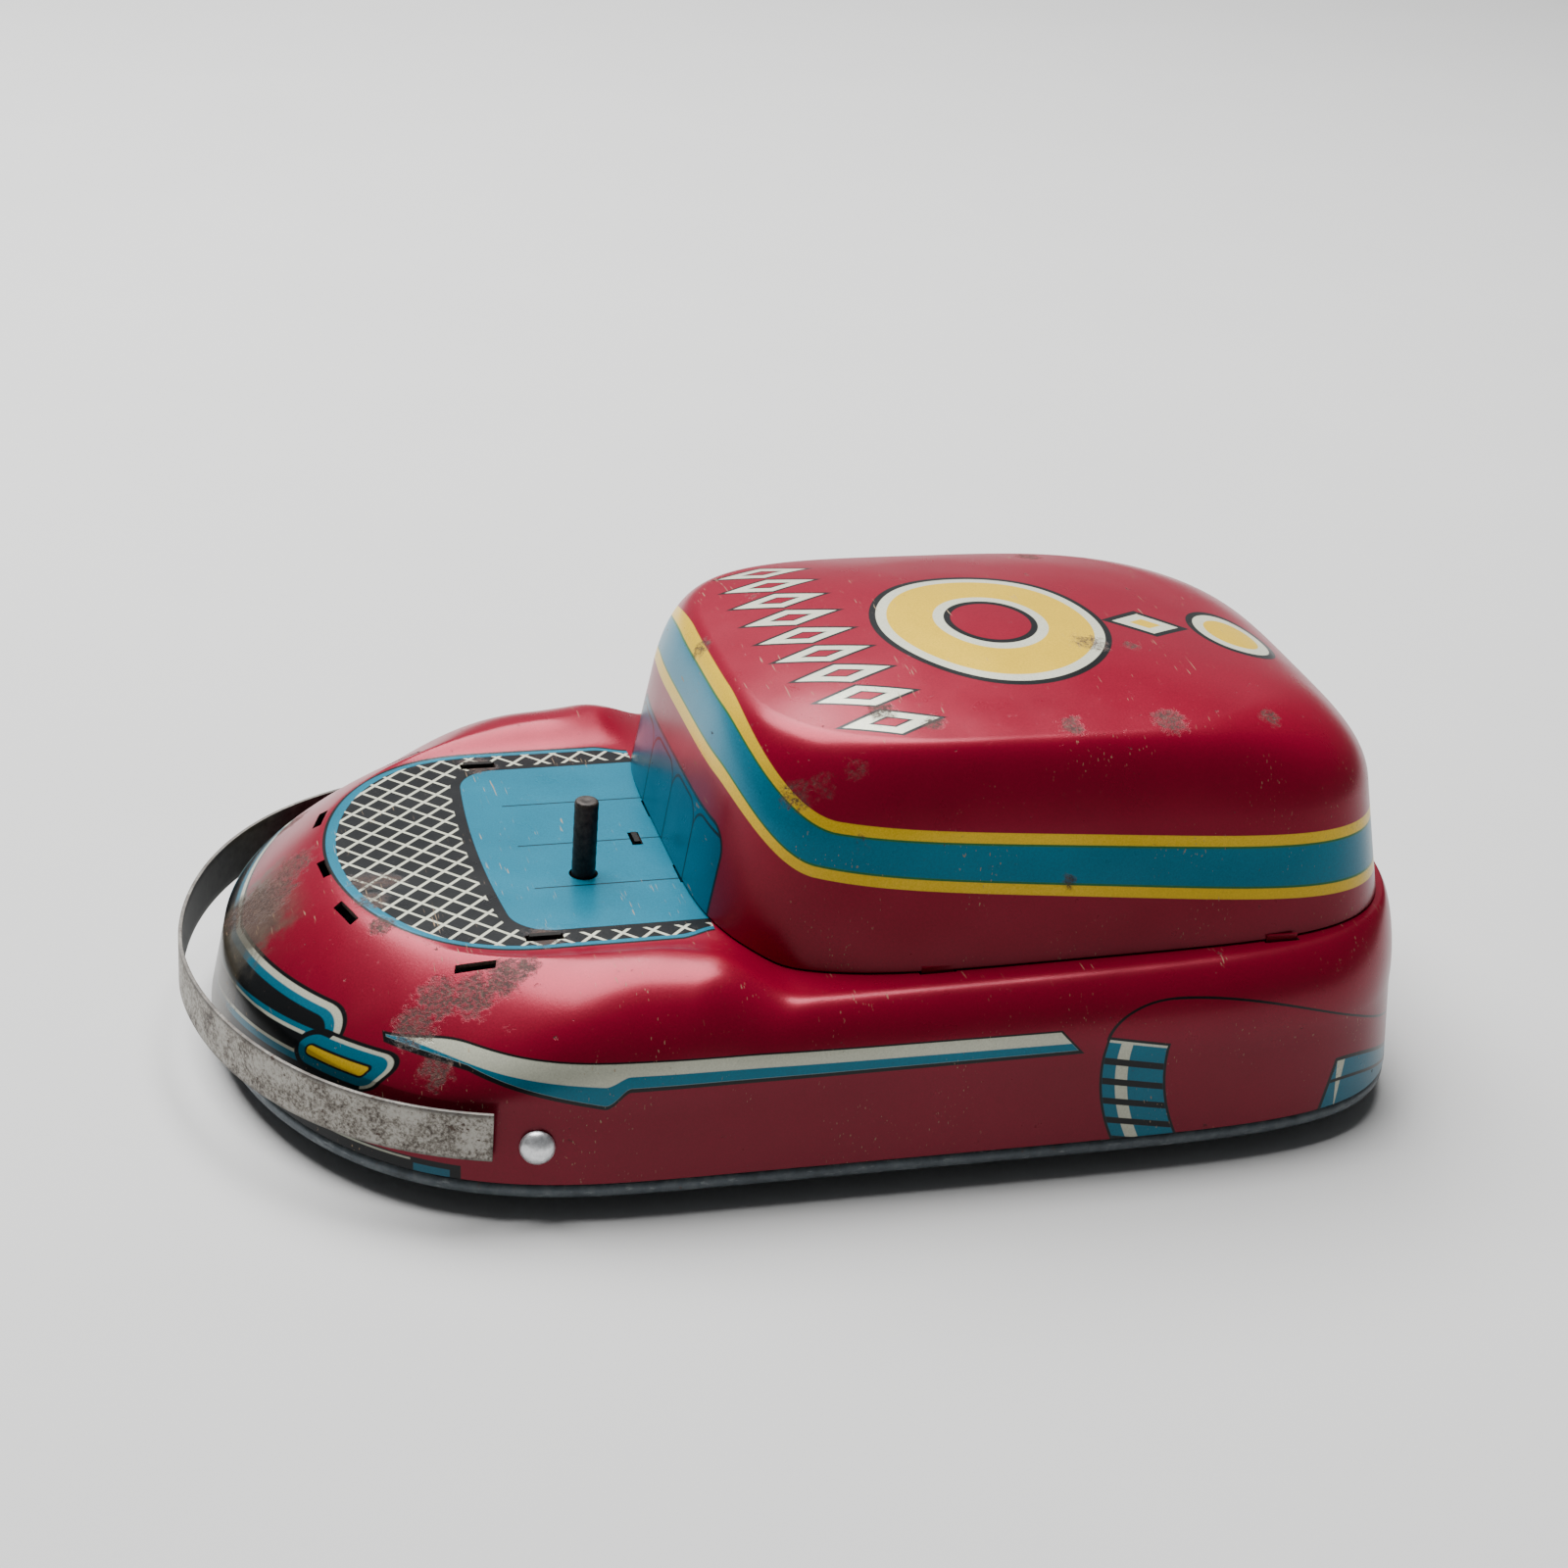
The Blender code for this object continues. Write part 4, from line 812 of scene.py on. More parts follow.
def zinc_sheet():
    """Dull zinc plating in spangles, stained, and near black where its tabs come up through the bonnet,
    painted shade of the slots.
    """
    finish = Finish("zinc_sheet")
    _, _, z = finish.axes()
    spangle = finish.node("TexVoronoi", {"feature": "F1"}, {"Vector": finish.where, "Scale": 0.35},
                          "Color")
    tone = finish.node("SeparateColor", {}, (spangle,), "Red")
    colour = finish.ramp(tone, (0.2, (0.26, 0.26, 0.25)), (0.8, (0.42, 0.42, 0.41)))
    stain = finish.step(finish.noise(2.0, 5.0, 0.65), 0.5, 0.7)
    colour = finish.blend(colour, (0.1, 0.08, 0.07), stain * 0.7)
    # Painted shade: above z 18.4 mm, where the tabs sit in the bonnet's slots, the zinc turns near black.
    colour = finish.blend(colour, (0.012, 0.011, 0.01), finish.step(z, 18.4, 19.6))
    return finish.close(Base_Color=colour, Metallic=0.85, Roughness=finish.level(0.38, 0.6, tone),
                        Normal=finish.bump(finish.noise(1.0, 4.0), 0.03, 0.5))


def tyre_rubber():
    """Matt black rubber with dust in it."""
    finish = Finish("tyre_rubber")
    dust = finish.noise(0.9, 5.0, 0.7)
    colour = finish.ramp(dust, (0.35, (0.012, 0.012, 0.012)), (0.75, (0.06, 0.057, 0.052)))
    return finish.close(Base_Color=colour, Roughness=finish.level(0.65, 0.9, dust),
                        Normal=finish.bump(dust, 0.05, 0.6))


# ---------------------------------------------------------------- settings

def colour_prop(name, description, default):
    return bpy.props.FloatVectorProperty(name=name, description=description, default=default,
                                         subtype="COLOR", size=3, min=0.0, max=1.0)


class TinCarInks(bpy.types.PropertyGroup):
    """Colours of the printing and of what shows where it has worn."""
    crimson: colour_prop("Crimson", "Lacquer over most of the car", (0.22, 0.0018, 0.019))
    turquoise: colour_prop("Turquoise", "Panels, bars and the cab's band", (0.005, 0.145, 0.225))
    deep_blue: colour_prop("Deep blue", "Shading of the printed glass", (0.002, 0.07, 0.13))
    cream: colour_prop("Cream", "Mesh, borders and the side flash", (0.57, 0.58, 0.46))
    yellow: colour_prop("Yellow", "Ornaments, lamps and thin bands", (0.68, 0.44, 0.018))
    green: colour_prop("Green", "Where blue ink lies over yellow", (0.015, 0.13, 0.035))
    black_ink: colour_prop("Black", "Outlines and grounds", (0.007, 0.008, 0.009))
    bare_tin: colour_prop("Bare tin", "Fresh scratches", (0.38, 0.26, 0.14))
    rust_dark: colour_prop("Dark rust", "Deep rust", (0.016, 0.011, 0.01))
    rust_mid: colour_prop("Brown rust", "Most of the rust", (0.058, 0.033, 0.026))
    rust_light: colour_prop("Pale rust", "Dusty rust", (0.15, 0.1, 0.075))


class TinCarWear(bpy.types.PropertyGroup):
    """How worn the car is, and how finely its shells are drawn."""
    rust: bpy.props.FloatProperty(name="Rust", description="Strength of the rust patches",
                                  default=0.95, min=0.0, max=1.0, subtype="FACTOR")
    scratches: bpy.props.FloatProperty(name="Scratches", description="Strength of the scratches",
                                       default=0.8, min=0.0, max=1.0, subtype="FACTOR")
    sheet: bpy.props.FloatProperty(name="Sheet", description="Thickness of the pressed tin",
                                   default=0.0005, min=0.0002, max=0.001, unit="LENGTH", precision=5)
    density: bpy.props.IntProperty(name="Density", description="Stations of a shell for each coarse one",
                                   default=6, min=1, max=8)


class TinCarStudio(bpy.types.PropertyGroup):
    """Where the camera and the lights stand."""
    lens: bpy.props.FloatProperty(name="Lens", description="Focal length on a 36 mm wide sensor",
                                  default=67.5, unit="CAMERA")
    turn: bpy.props.FloatProperty(name="Turn", description="Camera's turn about the vertical",
                                  default=math.radians(-17.1711), subtype="ANGLE")
    height: bpy.props.FloatProperty(name="Height", description="Camera's angle above the floor",
                                    default=math.radians(26.0638), subtype="ANGLE")
    roll: bpy.props.FloatProperty(name="Roll", description="Camera's turn about its own axis",
                                  default=math.radians(4.6), subtype="ANGLE")
    distance: bpy.props.FloatProperty(name="Distance", description="From the camera to its aim",
                                      default=0.3930457, unit="LENGTH")
    aim: bpy.props.FloatVectorProperty(name="Aim",
                                       description="Point the camera looks at, in the car's mm",
                                       default=(76.9346, 14.8336, 20.0), size=3)
    overhead: bpy.props.FloatProperty(name="Overhead", description="Power of the soft light above",
                                      default=33.0, unit="POWER")
    panel: bpy.props.FloatProperty(name="Panel", description="Power of the dim panel behind the car",
                                   default=1.0, unit="POWER")
    fill: bpy.props.FloatProperty(name="Fill", description="Brightness of the surroundings", default=0.11)
    floor: colour_prop("Floor", "Colour of the floor", (0.56, 0.56, 0.555))


class TinCarSettings(bpy.types.PropertyGroup):
    """Everything that a user may change on the car and its stage."""
    inks: bpy.props.PointerProperty(type=TinCarInks)
    wear: bpy.props.PointerProperty(type=TinCarWear)
    studio: bpy.props.PointerProperty(type=TinCarStudio)


# ---------------------------------------------------------------- shells

def wall_rings(density):
    """Body rings from the lower edge up the wall and over the shoulder to the crest."""
    base, wall = ring(BODY_PLAN, density), ring(WALL_PLAN, density)
    crest = ring(CREST_PLAN, density, widen_crest)
    rings = []
    for i in range(WALL_STEPS + 1):
        t = i / WALL_STEPS
        rings.append([place(mix(a[0], b[0], t), mix(a[1], b[1], t),
                            t * wall_z(a[0])) for a, b in zip(base, wall)])
    for i in range(1, SHOULDER_STEPS + 1):
        angle = math.pi / 2 * i / SHOULDER_STEPS
        points = []
        for a, b in zip(wall, crest):
            power = 2 / mix(*SHOULDER_POWER, smooth(18, 42, a[0]))
            inward = 1 - max(math.cos(angle), 0.0) ** power
            rise = math.sin(angle) ** power
            points.append(place(mix(a[0], b[0], inward), mix(a[1], b[1], inward),
                                mix(wall_z(a[0]), crest_z(b[0]), rise)))
        rings.append(points)
    return rings


def top_rings(density):
    """Body rings from the crest over the bonnet and ledge to the opening under the cab."""
    crest = ring(CREST_PLAN, density, widen_crest)
    hole = ring(inset_plan(CAB_PLAN, OPENING_INSET), density)
    rings = []
    for i in range(1, TOP_STEPS + 1):
        t = (i / TOP_STEPS) ** 1.3
        points = []
        for a, b in zip(crest, hole):
            x, y = mix(a[0], b[0], t), mix(a[1], b[1], t)
            points.append(place(x, y, top_z(x, y)))
        rings.append(points)
    return rings


def rivet_axis(side):
    """Outward direction of the leaning body wall at a rivet."""
    slope = plan_width(BODY_PLAN, RIVET_X + 1) - plan_width(BODY_PLAN, RIVET_X - 1)
    lean = (plan_width(BODY_PLAN, RIVET_X) - plan_width(WALL_PLAN, RIVET_X)) / WALL_TOP[0]
    return Vector((-slope / 2, side, lean)).normalized()


def rivet_foot(side, inset):
    """A point on a rivet's axis, inset from the body wall."""
    point = Vector((RIVET_X, side * plan_width(BODY_PLAN, RIVET_X), RIVET_Z))
    return point - rivet_axis(side) * inset


def tab_boxes(length, width, low, high):
    """Boxes for the cab's tabs, or for the slots they go through."""
    boxes = []
    for x, y in CAB_TABS:
        size = (width, length) if x < SPLIT_X else (length, width)
        top = top_z(x, y)
        boxes.append(((x, y, top + (low + high) / 2), (*size, high - low), 0.0))
    return boxes


class TINCAR_OT_body_shell(bpy.types.Operator):
    """Press the printed body shell with its slots, spindle hole and rivet holes"""
    bl_idname = "tincar.body_shell"
    bl_label = "Body Shell"

    def execute(self, context):
        settings = context.scene.tin_car
        bm = skin(wall_rings(settings.wear.density) + top_rings(settings.wear.density))
        face_outwards(bm, place(75, 0, 8))
        finishes = [body_lacquer(settings.inks, settings.wear), bare_tin(), cut_edge()]
        shell = new_piece("pressed_body", bm, finishes)
        boxes = [((x, y, 19.0), (length, width, 8.0), turn) for x, y, length, width, turn in SLOTS]
        boxes += tab_boxes(4.6, 0.9, -2.0, 2.0)
        for side in (1, -1):
            width = plan_width(BODY_PLAN, TONGUE_X)
            boxes.append(((TONGUE_X, side * (width - 1), sum(TONGUE_Z) / 2), (1.3, 5.0, 3.8), 0.0))
        spindle = car_point(sum(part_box("spindle"), Vector()) / 2)
        rods = [((spindle.x, spindle.y, 20), (0, 0, 1), SPINDLE_BORE, 6)]
        rods += [(rivet_foot(side, 1), rivet_axis(side), RIVET_BORE, 8) for side in (1, -1)]
        sheet(shell, settings.wear.sheet, [("DIFFERENCE", cutter(boxes, cut=2)),
                                           ("DIFFERENCE", cutter(rods=rods, cut=2))])
        settle(shell, "chassis", "body_lacquer", "body_shell")
        return {"FINISHED"}


def cab_level(front, rear, side, power, height, density):
    """One closed ring of the cab, from its insets and its height function."""
    low, high = CAB_PLAN[0] + front, CAB_PLAN[2] - rear
    middle = (low + high) / 2
    plan = (low, middle, high, CAB_PLAN[3] - side, (power, power), (power, power))
    half = even_points(half_curve(plan), CAB_STATIONS * density)
    return [place(x, y, height(x, y)) for x, y in whole(half)]


def fillet_arc(wall_slope, reach, crown_slope):
    """Start and end angles of the elliptical fillet that joins a leaning wall to the crown."""
    start, end = 0.3, 1.4
    for _ in range(60):
        ratio = CAB_DROP / reach * (math.cos(start) - math.cos(end)) / (math.sin(end) - math.sin(start))
        start, end = math.atan(ratio * wall_slope), math.atan(ratio / crown_slope)
    return start, end


def fillet_inward(start, end, rise):
    """How far in the fillet has come at a share of its rise."""
    height = mix(math.sin(start), math.sin(end), rise)
    return (math.cos(start) - math.sqrt(1 - height ** 2)) / (math.cos(start) - math.cos(end))


def cab_rings(density):
    """Cab rings from the ledge up the leaning walls and over the fillet to the crown, and its peak."""
    eaves = CAB_TOP - CAB_CROWN - CAB_DROP
    slopes = [lean / (eaves - LEDGE_HEIGHT) for lean in CAB_LEAN]
    long_way = (CAB_PLAN[2] - CAB_PLAN[0] - sum(CAB_LEAN[:2]) - sum(CAB_FILLET[:2])) / 2
    ways = (long_way, long_way, CAB_PLAN[3] - CAB_LEAN[2] - CAB_FILLET[2])
    arcs = [fillet_arc(slope, reach, 2 * CAB_CROWN / way)
            for slope, reach, way in zip(slopes, CAB_FILLET, ways)]
    power = CAB_PLAN[4][0]
    rings = []
    for i in range(CAB_WALL_STEPS + 1):
        t = i / CAB_WALL_STEPS
        lean = [part * t for part in CAB_LEAN]
        rings.append(cab_level(*lean, power, lambda x, y, t=t: mix(top_z(x, y) + GAP, eaves, t), density))
    for i in range(1, CAB_FILLET_STEPS + 1):
        rise = math.sin(math.pi / 2 * i / CAB_FILLET_STEPS)
        inward = [fillet_inward(*arc, rise) for arc in arcs]
        lean = [a + b * c for a, b, c in zip(CAB_LEAN, CAB_FILLET, inward)]
        level = eaves + CAB_DROP * rise
        rings.append(cab_level(*lean, mix(power, 3.5, inward[2]), lambda x, y, z=level: z, density))
    rim = rings[-1]
    centre = sum(rim, Vector()) / len(rim)
    for i in range(1, CAB_CROWN_STEPS):
        t = i / CAB_CROWN_STEPS
        rise = Vector((0, 0, CAB_CROWN * MM * (1 - (1 - t) ** 2)))
        rings.append([point.lerp(centre, t) + rise for point in rim])
    return rings, centre + Vector((0, 0, CAB_CROWN * MM))


class TINCAR_OT_cab_shell(bpy.types.Operator):
    """Press the printed cab shell with the tabs that hold it to the body"""
    bl_idname = "tincar.cab_shell"
    bl_label = "Cab Shell"

    def execute(self, context):
        settings = context.scene.tin_car
        rings, peak = cab_rings(settings.wear.density)
        bm = skin(rings, peak=peak)
        face_outwards(bm, place(101, 0, 30))
        shell = new_piece("pressed_cab", bm, [cab_lacquer(settings.inks, settings.wear), bare_tin()])
        sheet(shell, settings.wear.sheet, [("UNION", cutter(tab_boxes(4.0, 0.3, -2.4, 0.8)))])
        settle(shell, "chassis", "cab_lacquer", "cab_shell")
        return {"FINISHED"}


class TINCAR_OT_base_plate(bpy.types.Operator):
    """Press the grey base tray with its rolled edge, lip and wheel openings"""
    bl_idname = "tincar.base_plate"
    bl_label = "Base Plate"

    def execute(self, context):
        density = context.scene.tin_car.wear.density
        bottom = car_point(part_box("base_plate")[0]).z
        middle, reach = (bottom - GAP) / 2, (-GAP - bottom) / 2
        section = [(5.0, bottom + 0.06), (2.5, bottom), (0.9, bottom + 0.02), (0.45, bottom + 0.1)]
        for i in range(-6, 7):
            angle = math.pi / 2 * i / 7
            section.append((BEAD_DEPTH - BEAD_DEPTH * math.cos(angle), middle + reach * math.sin(angle)))
        inner, floor = BEAD_WIDTH + TRAY_SHEET, bottom + TRAY_SHEET
        section += [(0.6, -GAP), (BEAD_WIDTH, -GAP), (BEAD_WIDTH, LIP_TOP), (inner, LIP_TOP),
                    (inner, floor), (5.0, floor)]
        rings = [[place(x, y, z) for x, y in ring(inset_plan(BODY_PLAN, inset), density)]
                 for inset, z in section]
        bm = skin(rings)
        for level in (rings[0][0].z, rings[-1][0].z):
            edges = [edge for edge in bm.edges if edge.is_boundary
                     and abs(edge.verts[0].co.z - level) < 0.000001]
            bmesh.ops.edgeloop_fill(bm, edges=edges)
        bmesh.ops.recalc_face_normals(bm, faces=bm.faces)
        plate = new_piece("base_tray", bm, [base_paint(), cut_edge()])
        boxes, rods = [], []
        for prefix in ("drive", "rear"):
            for hand in ("left", "right"):
                low, high = [car_point(corner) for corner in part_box(f"{prefix}_tyre_{hand}")]
                centre = (low + high) / 2
                boxes.append(((centre.x, centre.y, bottom), (18.6, high.y - low.y + 2.2, 4.0), 0.0))
        gear = car_point(sum(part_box("axle_gear"), Vector()) / 2)
        boxes.append(((gear.x, gear.y, bottom), (10.0, 4.4, 4.0), 0.0))
        for name in ("bracket_rivet_front", "bracket_rivet_back"):
            rivet = car_point(sum(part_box(name), Vector()) / 2)
            rods.append(((rivet.x, rivet.y, bottom), (0, 0, 1), RIVET_BORE, 4))
        finish_mesh(plate, [("DIFFERENCE", cutter(boxes)), ("DIFFERENCE", cutter(rods=rods))])
        settle(plate, "chassis", "base_paint", "base_plate")
        return {"FINISHED"}


# ---------------------------------------------------------------- bumper and rivets

def swept(bm, path, low, high, rows):
    """A standing ribbon of grid faces along a path in plan."""
    made = bmesh.ops.create_grid(bm, x_segments=len(path) - 1, y_segments=rows, size=1.0)["verts"]
    for vert in made:
        i = round((vert.co.x + 1) / 2 * (len(path) - 1))
        x, y = path[i]
        vert.co = place(x, y, mix(low, high, (vert.co.y + 1) / 2))
    return made


class TINCAR_OT_bumper(bpy.types.Operator):
    """Bend the spring bumper strip and the tongues that take it back to its rivets"""
    bl_idname = "tincar.bumper"
    bl_label = "Bumper Strip"

    def execute(self, context):
        thickness = context.scene.tin_car.wear.sheet
        low, high = [car_point(corner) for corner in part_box("bumper_strip")]
        bow = half_curve((low.x, BODY_PLAN[1], LENGTH, HALF + 0.25, *BODY_PLAN[4:]), 2880)
        half = even_points([point for point in bow[1440:] if point[0] <= STRIP_END], 90)
        half[-1] = (half[-1][0], 0.0)
        bm = bmesh.new()
        swept(bm, half + [(x, -y) for x, y in half[-2::-1]], low.z, high.z, 6)
        face_outwards(bm, place(40, 0, 6))
        strip = new_piece("spring_bumper", bm, [strip_plating(), strip_back()])
        bend = strip.modifiers.new("wall", "SOLIDIFY")
        bend.thickness, bend.offset, bend.material_offset = thickness, -1, 1
        soften = strip.modifiers.new("edge", "BEVEL")
        soften.width, soften.segments, soften.limit_method = 0.00012, 2, "ANGLE"
        finish_mesh(strip)
        settle(strip, "chassis", "bumper_tinplate", "bumper_strip")
        for side, hand in ((1, "right"), (-1, "left")):
            start = plan_width(BODY_PLAN, TONGUE_X) + 0.75
            path = [(TONGUE_X, start)]
            path += [(x, plan_width(BODY_PLAN, x) - TONGUE_INSET)
                     for x in (TONGUE_X, 28.0, 30.0, 32.0, 34.0, 35.2)]
            bm = bmesh.new()
            swept(bm, [(x, side * y) for x, y in path], *TONGUE_Z, 2)
            tongue = new_piece(f"bumper_tongue_{hand}", bm, [strip_back()])
            wall = tongue.modifiers.new("wall", "SOLIDIFY")
            wall.thickness, wall.offset = thickness, 0
            hole = cutter(rods=[(rivet_foot(side, TONGUE_INSET), rivet_axis(side), RIVET_BORE, 3)])
            finish_mesh(tongue, [("DIFFERENCE", hole)])
            settle(tongue, "chassis", "bumper_tinplate")
        return {"FINISHED"}


class TINCAR_OT_rivets(bpy.types.Operator):
    """Set the two domed rivets behind the bumper's ends"""
    bl_idname = "tincar.rivets"
    bl_label = "Bumper Rivets"

    def execute(self, context):
        finish = metal("rivet_aluminium", (0.5, 0.51, 0.52), (0.86, 0.87, 0.88), 0.34, 0.5, 0.85,
                       pit=0.03)
        seat, end = -0.5, -TONGUE_INSET - 1.8
        dome = [(2.1 * math.cos(math.radians(a)), seat + 1.25 * math.sin(math.radians(a)))
                for a in range(82, -1, -6)]
        profile = [(0, seat + 1.25), *dome, (2.02, seat - 0.06), (1.0, seat - 0.06), (1.0, end + 0.9),
                   (1.7, end + 0.85), (1.75, end + 0.5), (1.6, end + 0.15), (1.3, end), (0, end)]
        for side, hand in ((1, "right"), (-1, "left")):
            rivet = turned(f"domed_rivet_{hand}", profile, rivet_foot(side, 0), rivet_axis(side), finish)
            settle(rivet, "chassis", "rivet_aluminium", f"rivet_{hand}")
        return {"FINISHED"}


# ---------------------------------------------------------------- gear train and wheels

class TINCAR_OT_spindle(bpy.types.Operator):
    """Turn the upright spindle with its worn end and foot pivot"""
    bl_idname = "tincar.spindle"
    bl_label = "Spindle"

    def execute(self, context):
        low, high = [car_point(corner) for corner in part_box("spindle")]
        centre, radius = (low + high) / 2, (high.x - low.x) / 2
        foot, top = low.z, high.z
        finish = metal("spindle_steel", (0.012, 0.011, 0.011), (0.06, 0.05, 0.044), 0.5, 0.8, 0.7,
                       lines=(1, 1, 0.08), pit=0.05)
        profile = [(0, top - 0.12), (0.5, top - 0.06), (radius - 0.45, top), (radius - 0.2, top - 0.05),
                   (radius - 0.06, top - 0.2), (radius, top - 0.5)]
        profile += [(radius - 0.035 * (i % 2), mix(top - 0.8, foot + 1.8, i / 24)) for i in range(25)]
        profile += [(radius, foot + 1.5), (radius - 0.1, foot + 1.4), (0.8, foot + 1.4), (0.8, foot + 0.2),
                    (0.6, foot), (0, foot)]
        rod = turned("upright_spindle", profile, (centre.x, centre.y, 0), (0, 0, 1), finish, 72)
        settle(rod, "spindle_group", "dark_steel", "spindle")
        return {"FINISHED"}


class TINCAR_OT_wheels(bpy.types.Operator):
    """Press the wheels, mould the ribbed tyres and turn the axles"""
    bl_idname = "tincar.wheels"
    bl_label = "Wheels and Axles"

    def execute(self, context):
        tin = metal("wheel_tin", (0.2, 0.19, 0.17), (0.55, 0.54, 0.51), 0.42, 1.5, 0.9, pit=0.03)
        steel = metal("axle_steel", (0.05, 0.045, 0.04), (0.2, 0.19, 0.175), 0.4, 1.0, 0.9,
                      lines=(1, 0.06, 1))
        rubber = tyre_rubber()
        for prefix, body in (("drive", "drive_wheels"), ("rear", "rear_wheels")):
            for side, hand in ((1, "right"), (-1, "left")):
                low, high = [car_point(corner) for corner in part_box(f"{prefix}_tyre_{hand}")]
                centre, outer = (low + high) / 2, (high.z - low.z) / 2
                half = (high.y - low.y) / 2
                foot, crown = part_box(f"{prefix}_wheel_{hand}")
                rim = (crown.z - foot.z) / 2 / MM
                tread = [(outer - 0.28 * (i % 2), mix(half - 1.0, -half + 1.0, i / 12))
                         for i in range(13)]
                shoulder = [(outer - 1.1 + 1.1 * math.sin(math.radians(a)),
                             half - 1.0 + math.cos(math.radians(a))) for a in range(0, 90, 15)]
                profile = [(rim + 0.2, half), *shoulder, *tread,
                           *[(r, -h) for r, h in reversed(shoulder)], (rim + 0.2, -half)]
                tyre = turned(f"ribbed_tyre_{prefix}_{hand}", profile, centre, (0, side, 0), rubber, 96)
                settle(tyre, body, "tyre_rubber", f"{prefix}_tyre_{hand}")
                bore, inner = 1.3, -half + 0.6
                disc = [(bore, half), (2.3, half), (2.6, half - 0.2), (3.0, 1.4), (3.4, 1.0), (4.2, 0.95),
                        (4.6, 1.15), (5.0, 1.15), (5.4, 0.95), (6.0, 1.0), (6.5, half - 1.2),
                        (6.8, half - 0.7), (rim - 0.15, half - 0.6), (rim, half - 0.8), (rim, inner),
                        (6.9, inner), (6.2, 0.3), (3.2, 0.3), (2.6, -half + 0.9), (2.4, inner),
                        (bore, inner)]
                wheel = turned(f"pressed_wheel_{prefix}_{hand}", disc, centre, (0, side, 0), tin, 96)
                settle(wheel, body, "wheel_tin", f"{prefix}_wheel_{hand}")
            low, high = [car_point(corner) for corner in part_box(f"{prefix}_axle")]
            centre, reach, radius = (low + high) / 2, (high.y - low.y) / 2, (high.z - low.z) / 2
            rod = [(0, reach), (radius - 0.3, reach), (radius - 0.08, reach - 0.1), (radius, reach - 0.3)]
            rod += [(r, -h) for r, h in reversed(rod)]
            axle = turned(f"turned_{prefix}_axle", rod, centre, (0, 1, 0), steel, 48)
            settle(axle, body, "dark_steel", f"{prefix}_axle")
            for hand in ("left", "right"):
                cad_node(f"{prefix}_spacer_{hand}", tin)
        return {"FINISHED"}


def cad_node(name, finish):
    """Give a node of the frame its finish."""
    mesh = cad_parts[name].data
    mesh.materials.clear()
    mesh.materials.append(finish)


class TINCAR_OT_gear_train(bpy.types.Operator):
    """Finish the gears, the shafts, the bent frame and the rear bracket"""
    bl_idname = "tincar.gear_train"
    bl_label = "Gear Train"

    def execute(self, context):
        brass = metal("gear_brass", (0.22, 0.14, 0.05), (0.56, 0.41, 0.16), 0.38, 1.4, 0.95, pit=0.02)
        steel = metal("shaft_steel", (0.03, 0.027, 0.025), (0.13, 0.12, 0.11), 0.42, 0.9, 0.9,
                      lines=(1, 0.06, 1))
        black = metal("black_rivets", (0.015, 0.013, 0.012), (0.09, 0.07, 0.06), 0.5, 0.6, 0.8)
        for name in ("crown_gear", "counter_pinion", "axle_gear", "spindle_pinion", "spindle_collar"):
            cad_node(name, brass)
        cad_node("countershaft", steel)
        for name in ("bracket_rivet_front", "bracket_rivet_back"):
            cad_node(name, black)
        zinc = zinc_sheet()
        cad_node("gear_frame", zinc)
        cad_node("rear_bracket", zinc)
        return {"FINISHED"}


# ---------------------------------------------------------------- stage

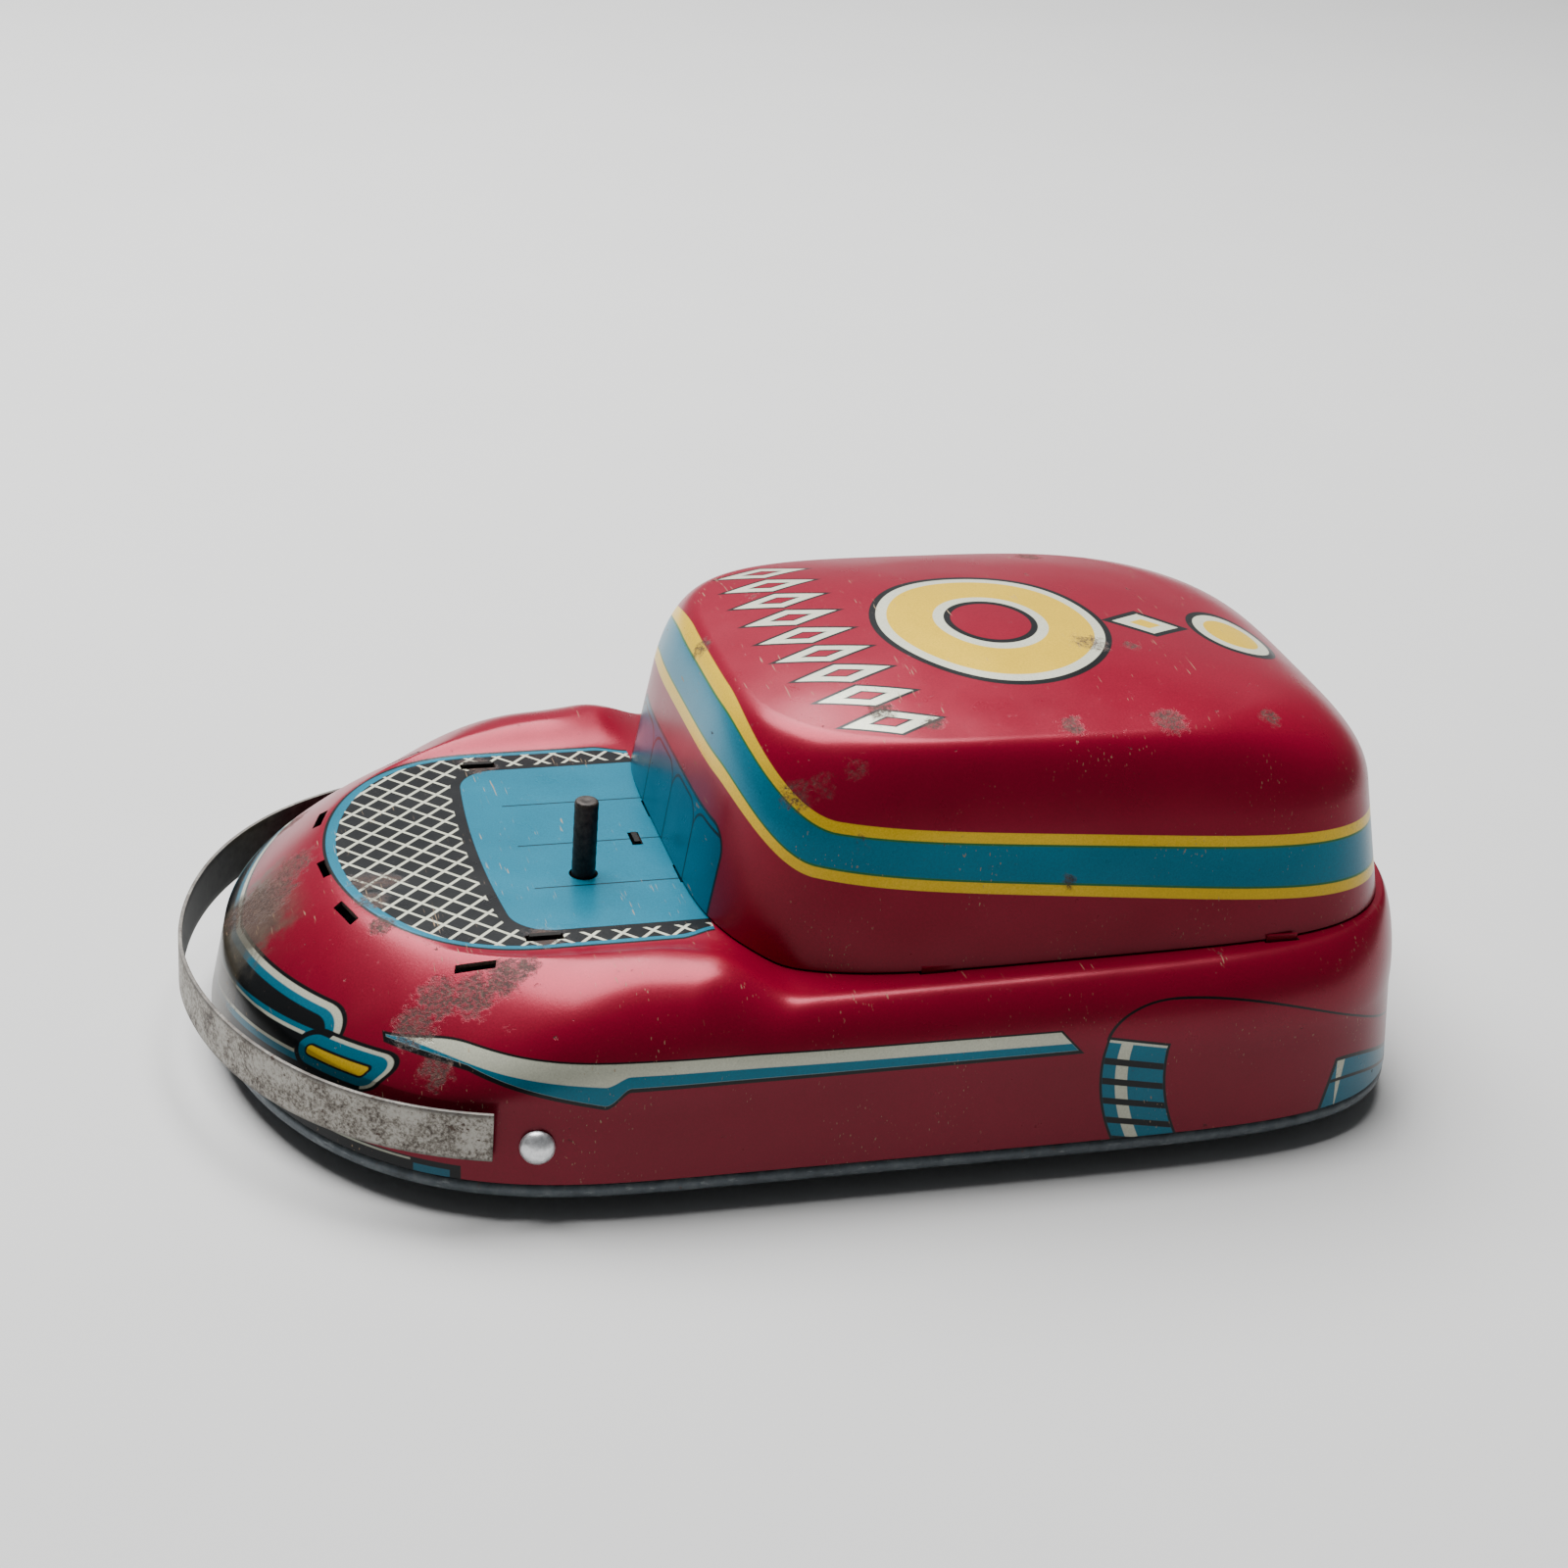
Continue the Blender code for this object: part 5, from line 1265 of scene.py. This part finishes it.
class TINCAR_OT_stage(bpy.types.Operator):
    """Lay the pale floor and set up the soft lights and the camera"""
    bl_idname = "tincar.stage"
    bl_label = "Stage"

    def execute(self, context):
        studio = context.scene.tin_car.studio
        finish = Finish("pale_floor")
        tone = finish.noise(55.0, 4.0, 0.6)
        colour = finish.shade(studio.floor, finish.level(0.97, 1.03, tone))
        paper = finish.close(Base_Color=colour, Roughness=0.9,
                             Normal=finish.bump(finish.noise(1.5, 4.0), 0.05, 0.3))
        bm = bmesh.new()
        bmesh.ops.create_grid(bm, x_segments=8, y_segments=8, size=4.0)
        new_piece("floor", bm, [paper])
        world = bpy.data.worlds.new("soft_room")
        world.use_nodes = True
        background = world.node_tree.nodes["Background"]
        background.inputs["Color"].default_value = (0.94, 0.96, 1.0, 1)
        background.inputs["Strength"].default_value = studio.fill
        context.scene.world = world
        for name, spot, aim, size, power in (
                ("overhead", (-0.12, 0.36, 0.9), (0, 0.02, 0.02), (0.8, 0.8), studio.overhead),
                ("panel", (0.0, 0.95, 0.42), (0, 0, 0.3), (1.7, 0.8), studio.panel)):
            light = bpy.data.lights.new(name, "AREA")
            light.shape = "RECTANGLE"
            light.size, light.size_y, light.energy = *size, power
            lamp = bpy.data.objects.new(name, light)
            lamp.location = spot
            lamp.rotation_euler = (Vector(aim) - Vector(spot)).to_track_quat("-Z", "Y").to_euler()
            context.scene.collection.objects.link(lamp)
        back = Vector((math.sin(studio.turn) * math.cos(studio.height),
                       -math.cos(studio.turn) * math.cos(studio.height), math.sin(studio.height)))
        level = Vector((math.cos(studio.turn), math.sin(studio.turn), 0))
        rise = back.cross(level)
        right = math.cos(studio.roll) * level + math.sin(studio.roll) * rise
        up = math.cos(studio.roll) * rise - math.sin(studio.roll) * level
        lens = bpy.data.cameras.new("camera")
        lens.lens, lens.sensor_width = studio.lens, 36.0
        lens.clip_start, lens.clip_end = 0.01, 20.0
        camera = bpy.data.objects.new("camera", lens)
        turn = Matrix((right, up, back)).transposed()
        eye = place(*studio.aim) + back * studio.distance
        camera.matrix_world = Matrix.Translation(eye) @ turn.to_4x4()
        context.scene.collection.objects.link(camera)
        context.scene.camera = camera
        return {"FINISHED"}


class TINCAR_PT_pieces(bpy.types.Panel):
    """Lists the car's pieces and its settings"""
    bl_label = "Tin Toy Car"
    bl_space_type = "VIEW_3D"
    bl_region_type = "UI"
    bl_category = "Tin Car"

    def draw(self, context):
        settings = context.scene.tin_car
        for operator in OPERATORS:
            self.layout.operator(operator.bl_idname)
        for group in (settings.inks, settings.wear, settings.studio):
            box = self.layout.box()
            for key in group.__annotations__:
                box.prop(group, key)


OPERATORS = (TINCAR_OT_stage, TINCAR_OT_body_shell, TINCAR_OT_cab_shell, TINCAR_OT_base_plate,
             TINCAR_OT_bumper, TINCAR_OT_rivets, TINCAR_OT_spindle, TINCAR_OT_wheels,
             TINCAR_OT_gear_train)
CLASSES = (TinCarInks, TinCarWear, TinCarStudio, TinCarSettings, *OPERATORS, TINCAR_PT_pieces)


def register():
    for item in CLASSES:
        bpy.utils.register_class(item)
    bpy.types.Scene.tin_car = bpy.props.PointerProperty(type=TinCarSettings)


def unregister():
    del bpy.types.Scene.tin_car
    for item in reversed(CLASSES):
        bpy.utils.unregister_class(item)


def main():
    register()
    for operator in OPERATORS:
        family, name = operator.bl_idname.split(".")
        getattr(getattr(bpy.ops, family), name)()


if __name__ == "__main__":
    main()
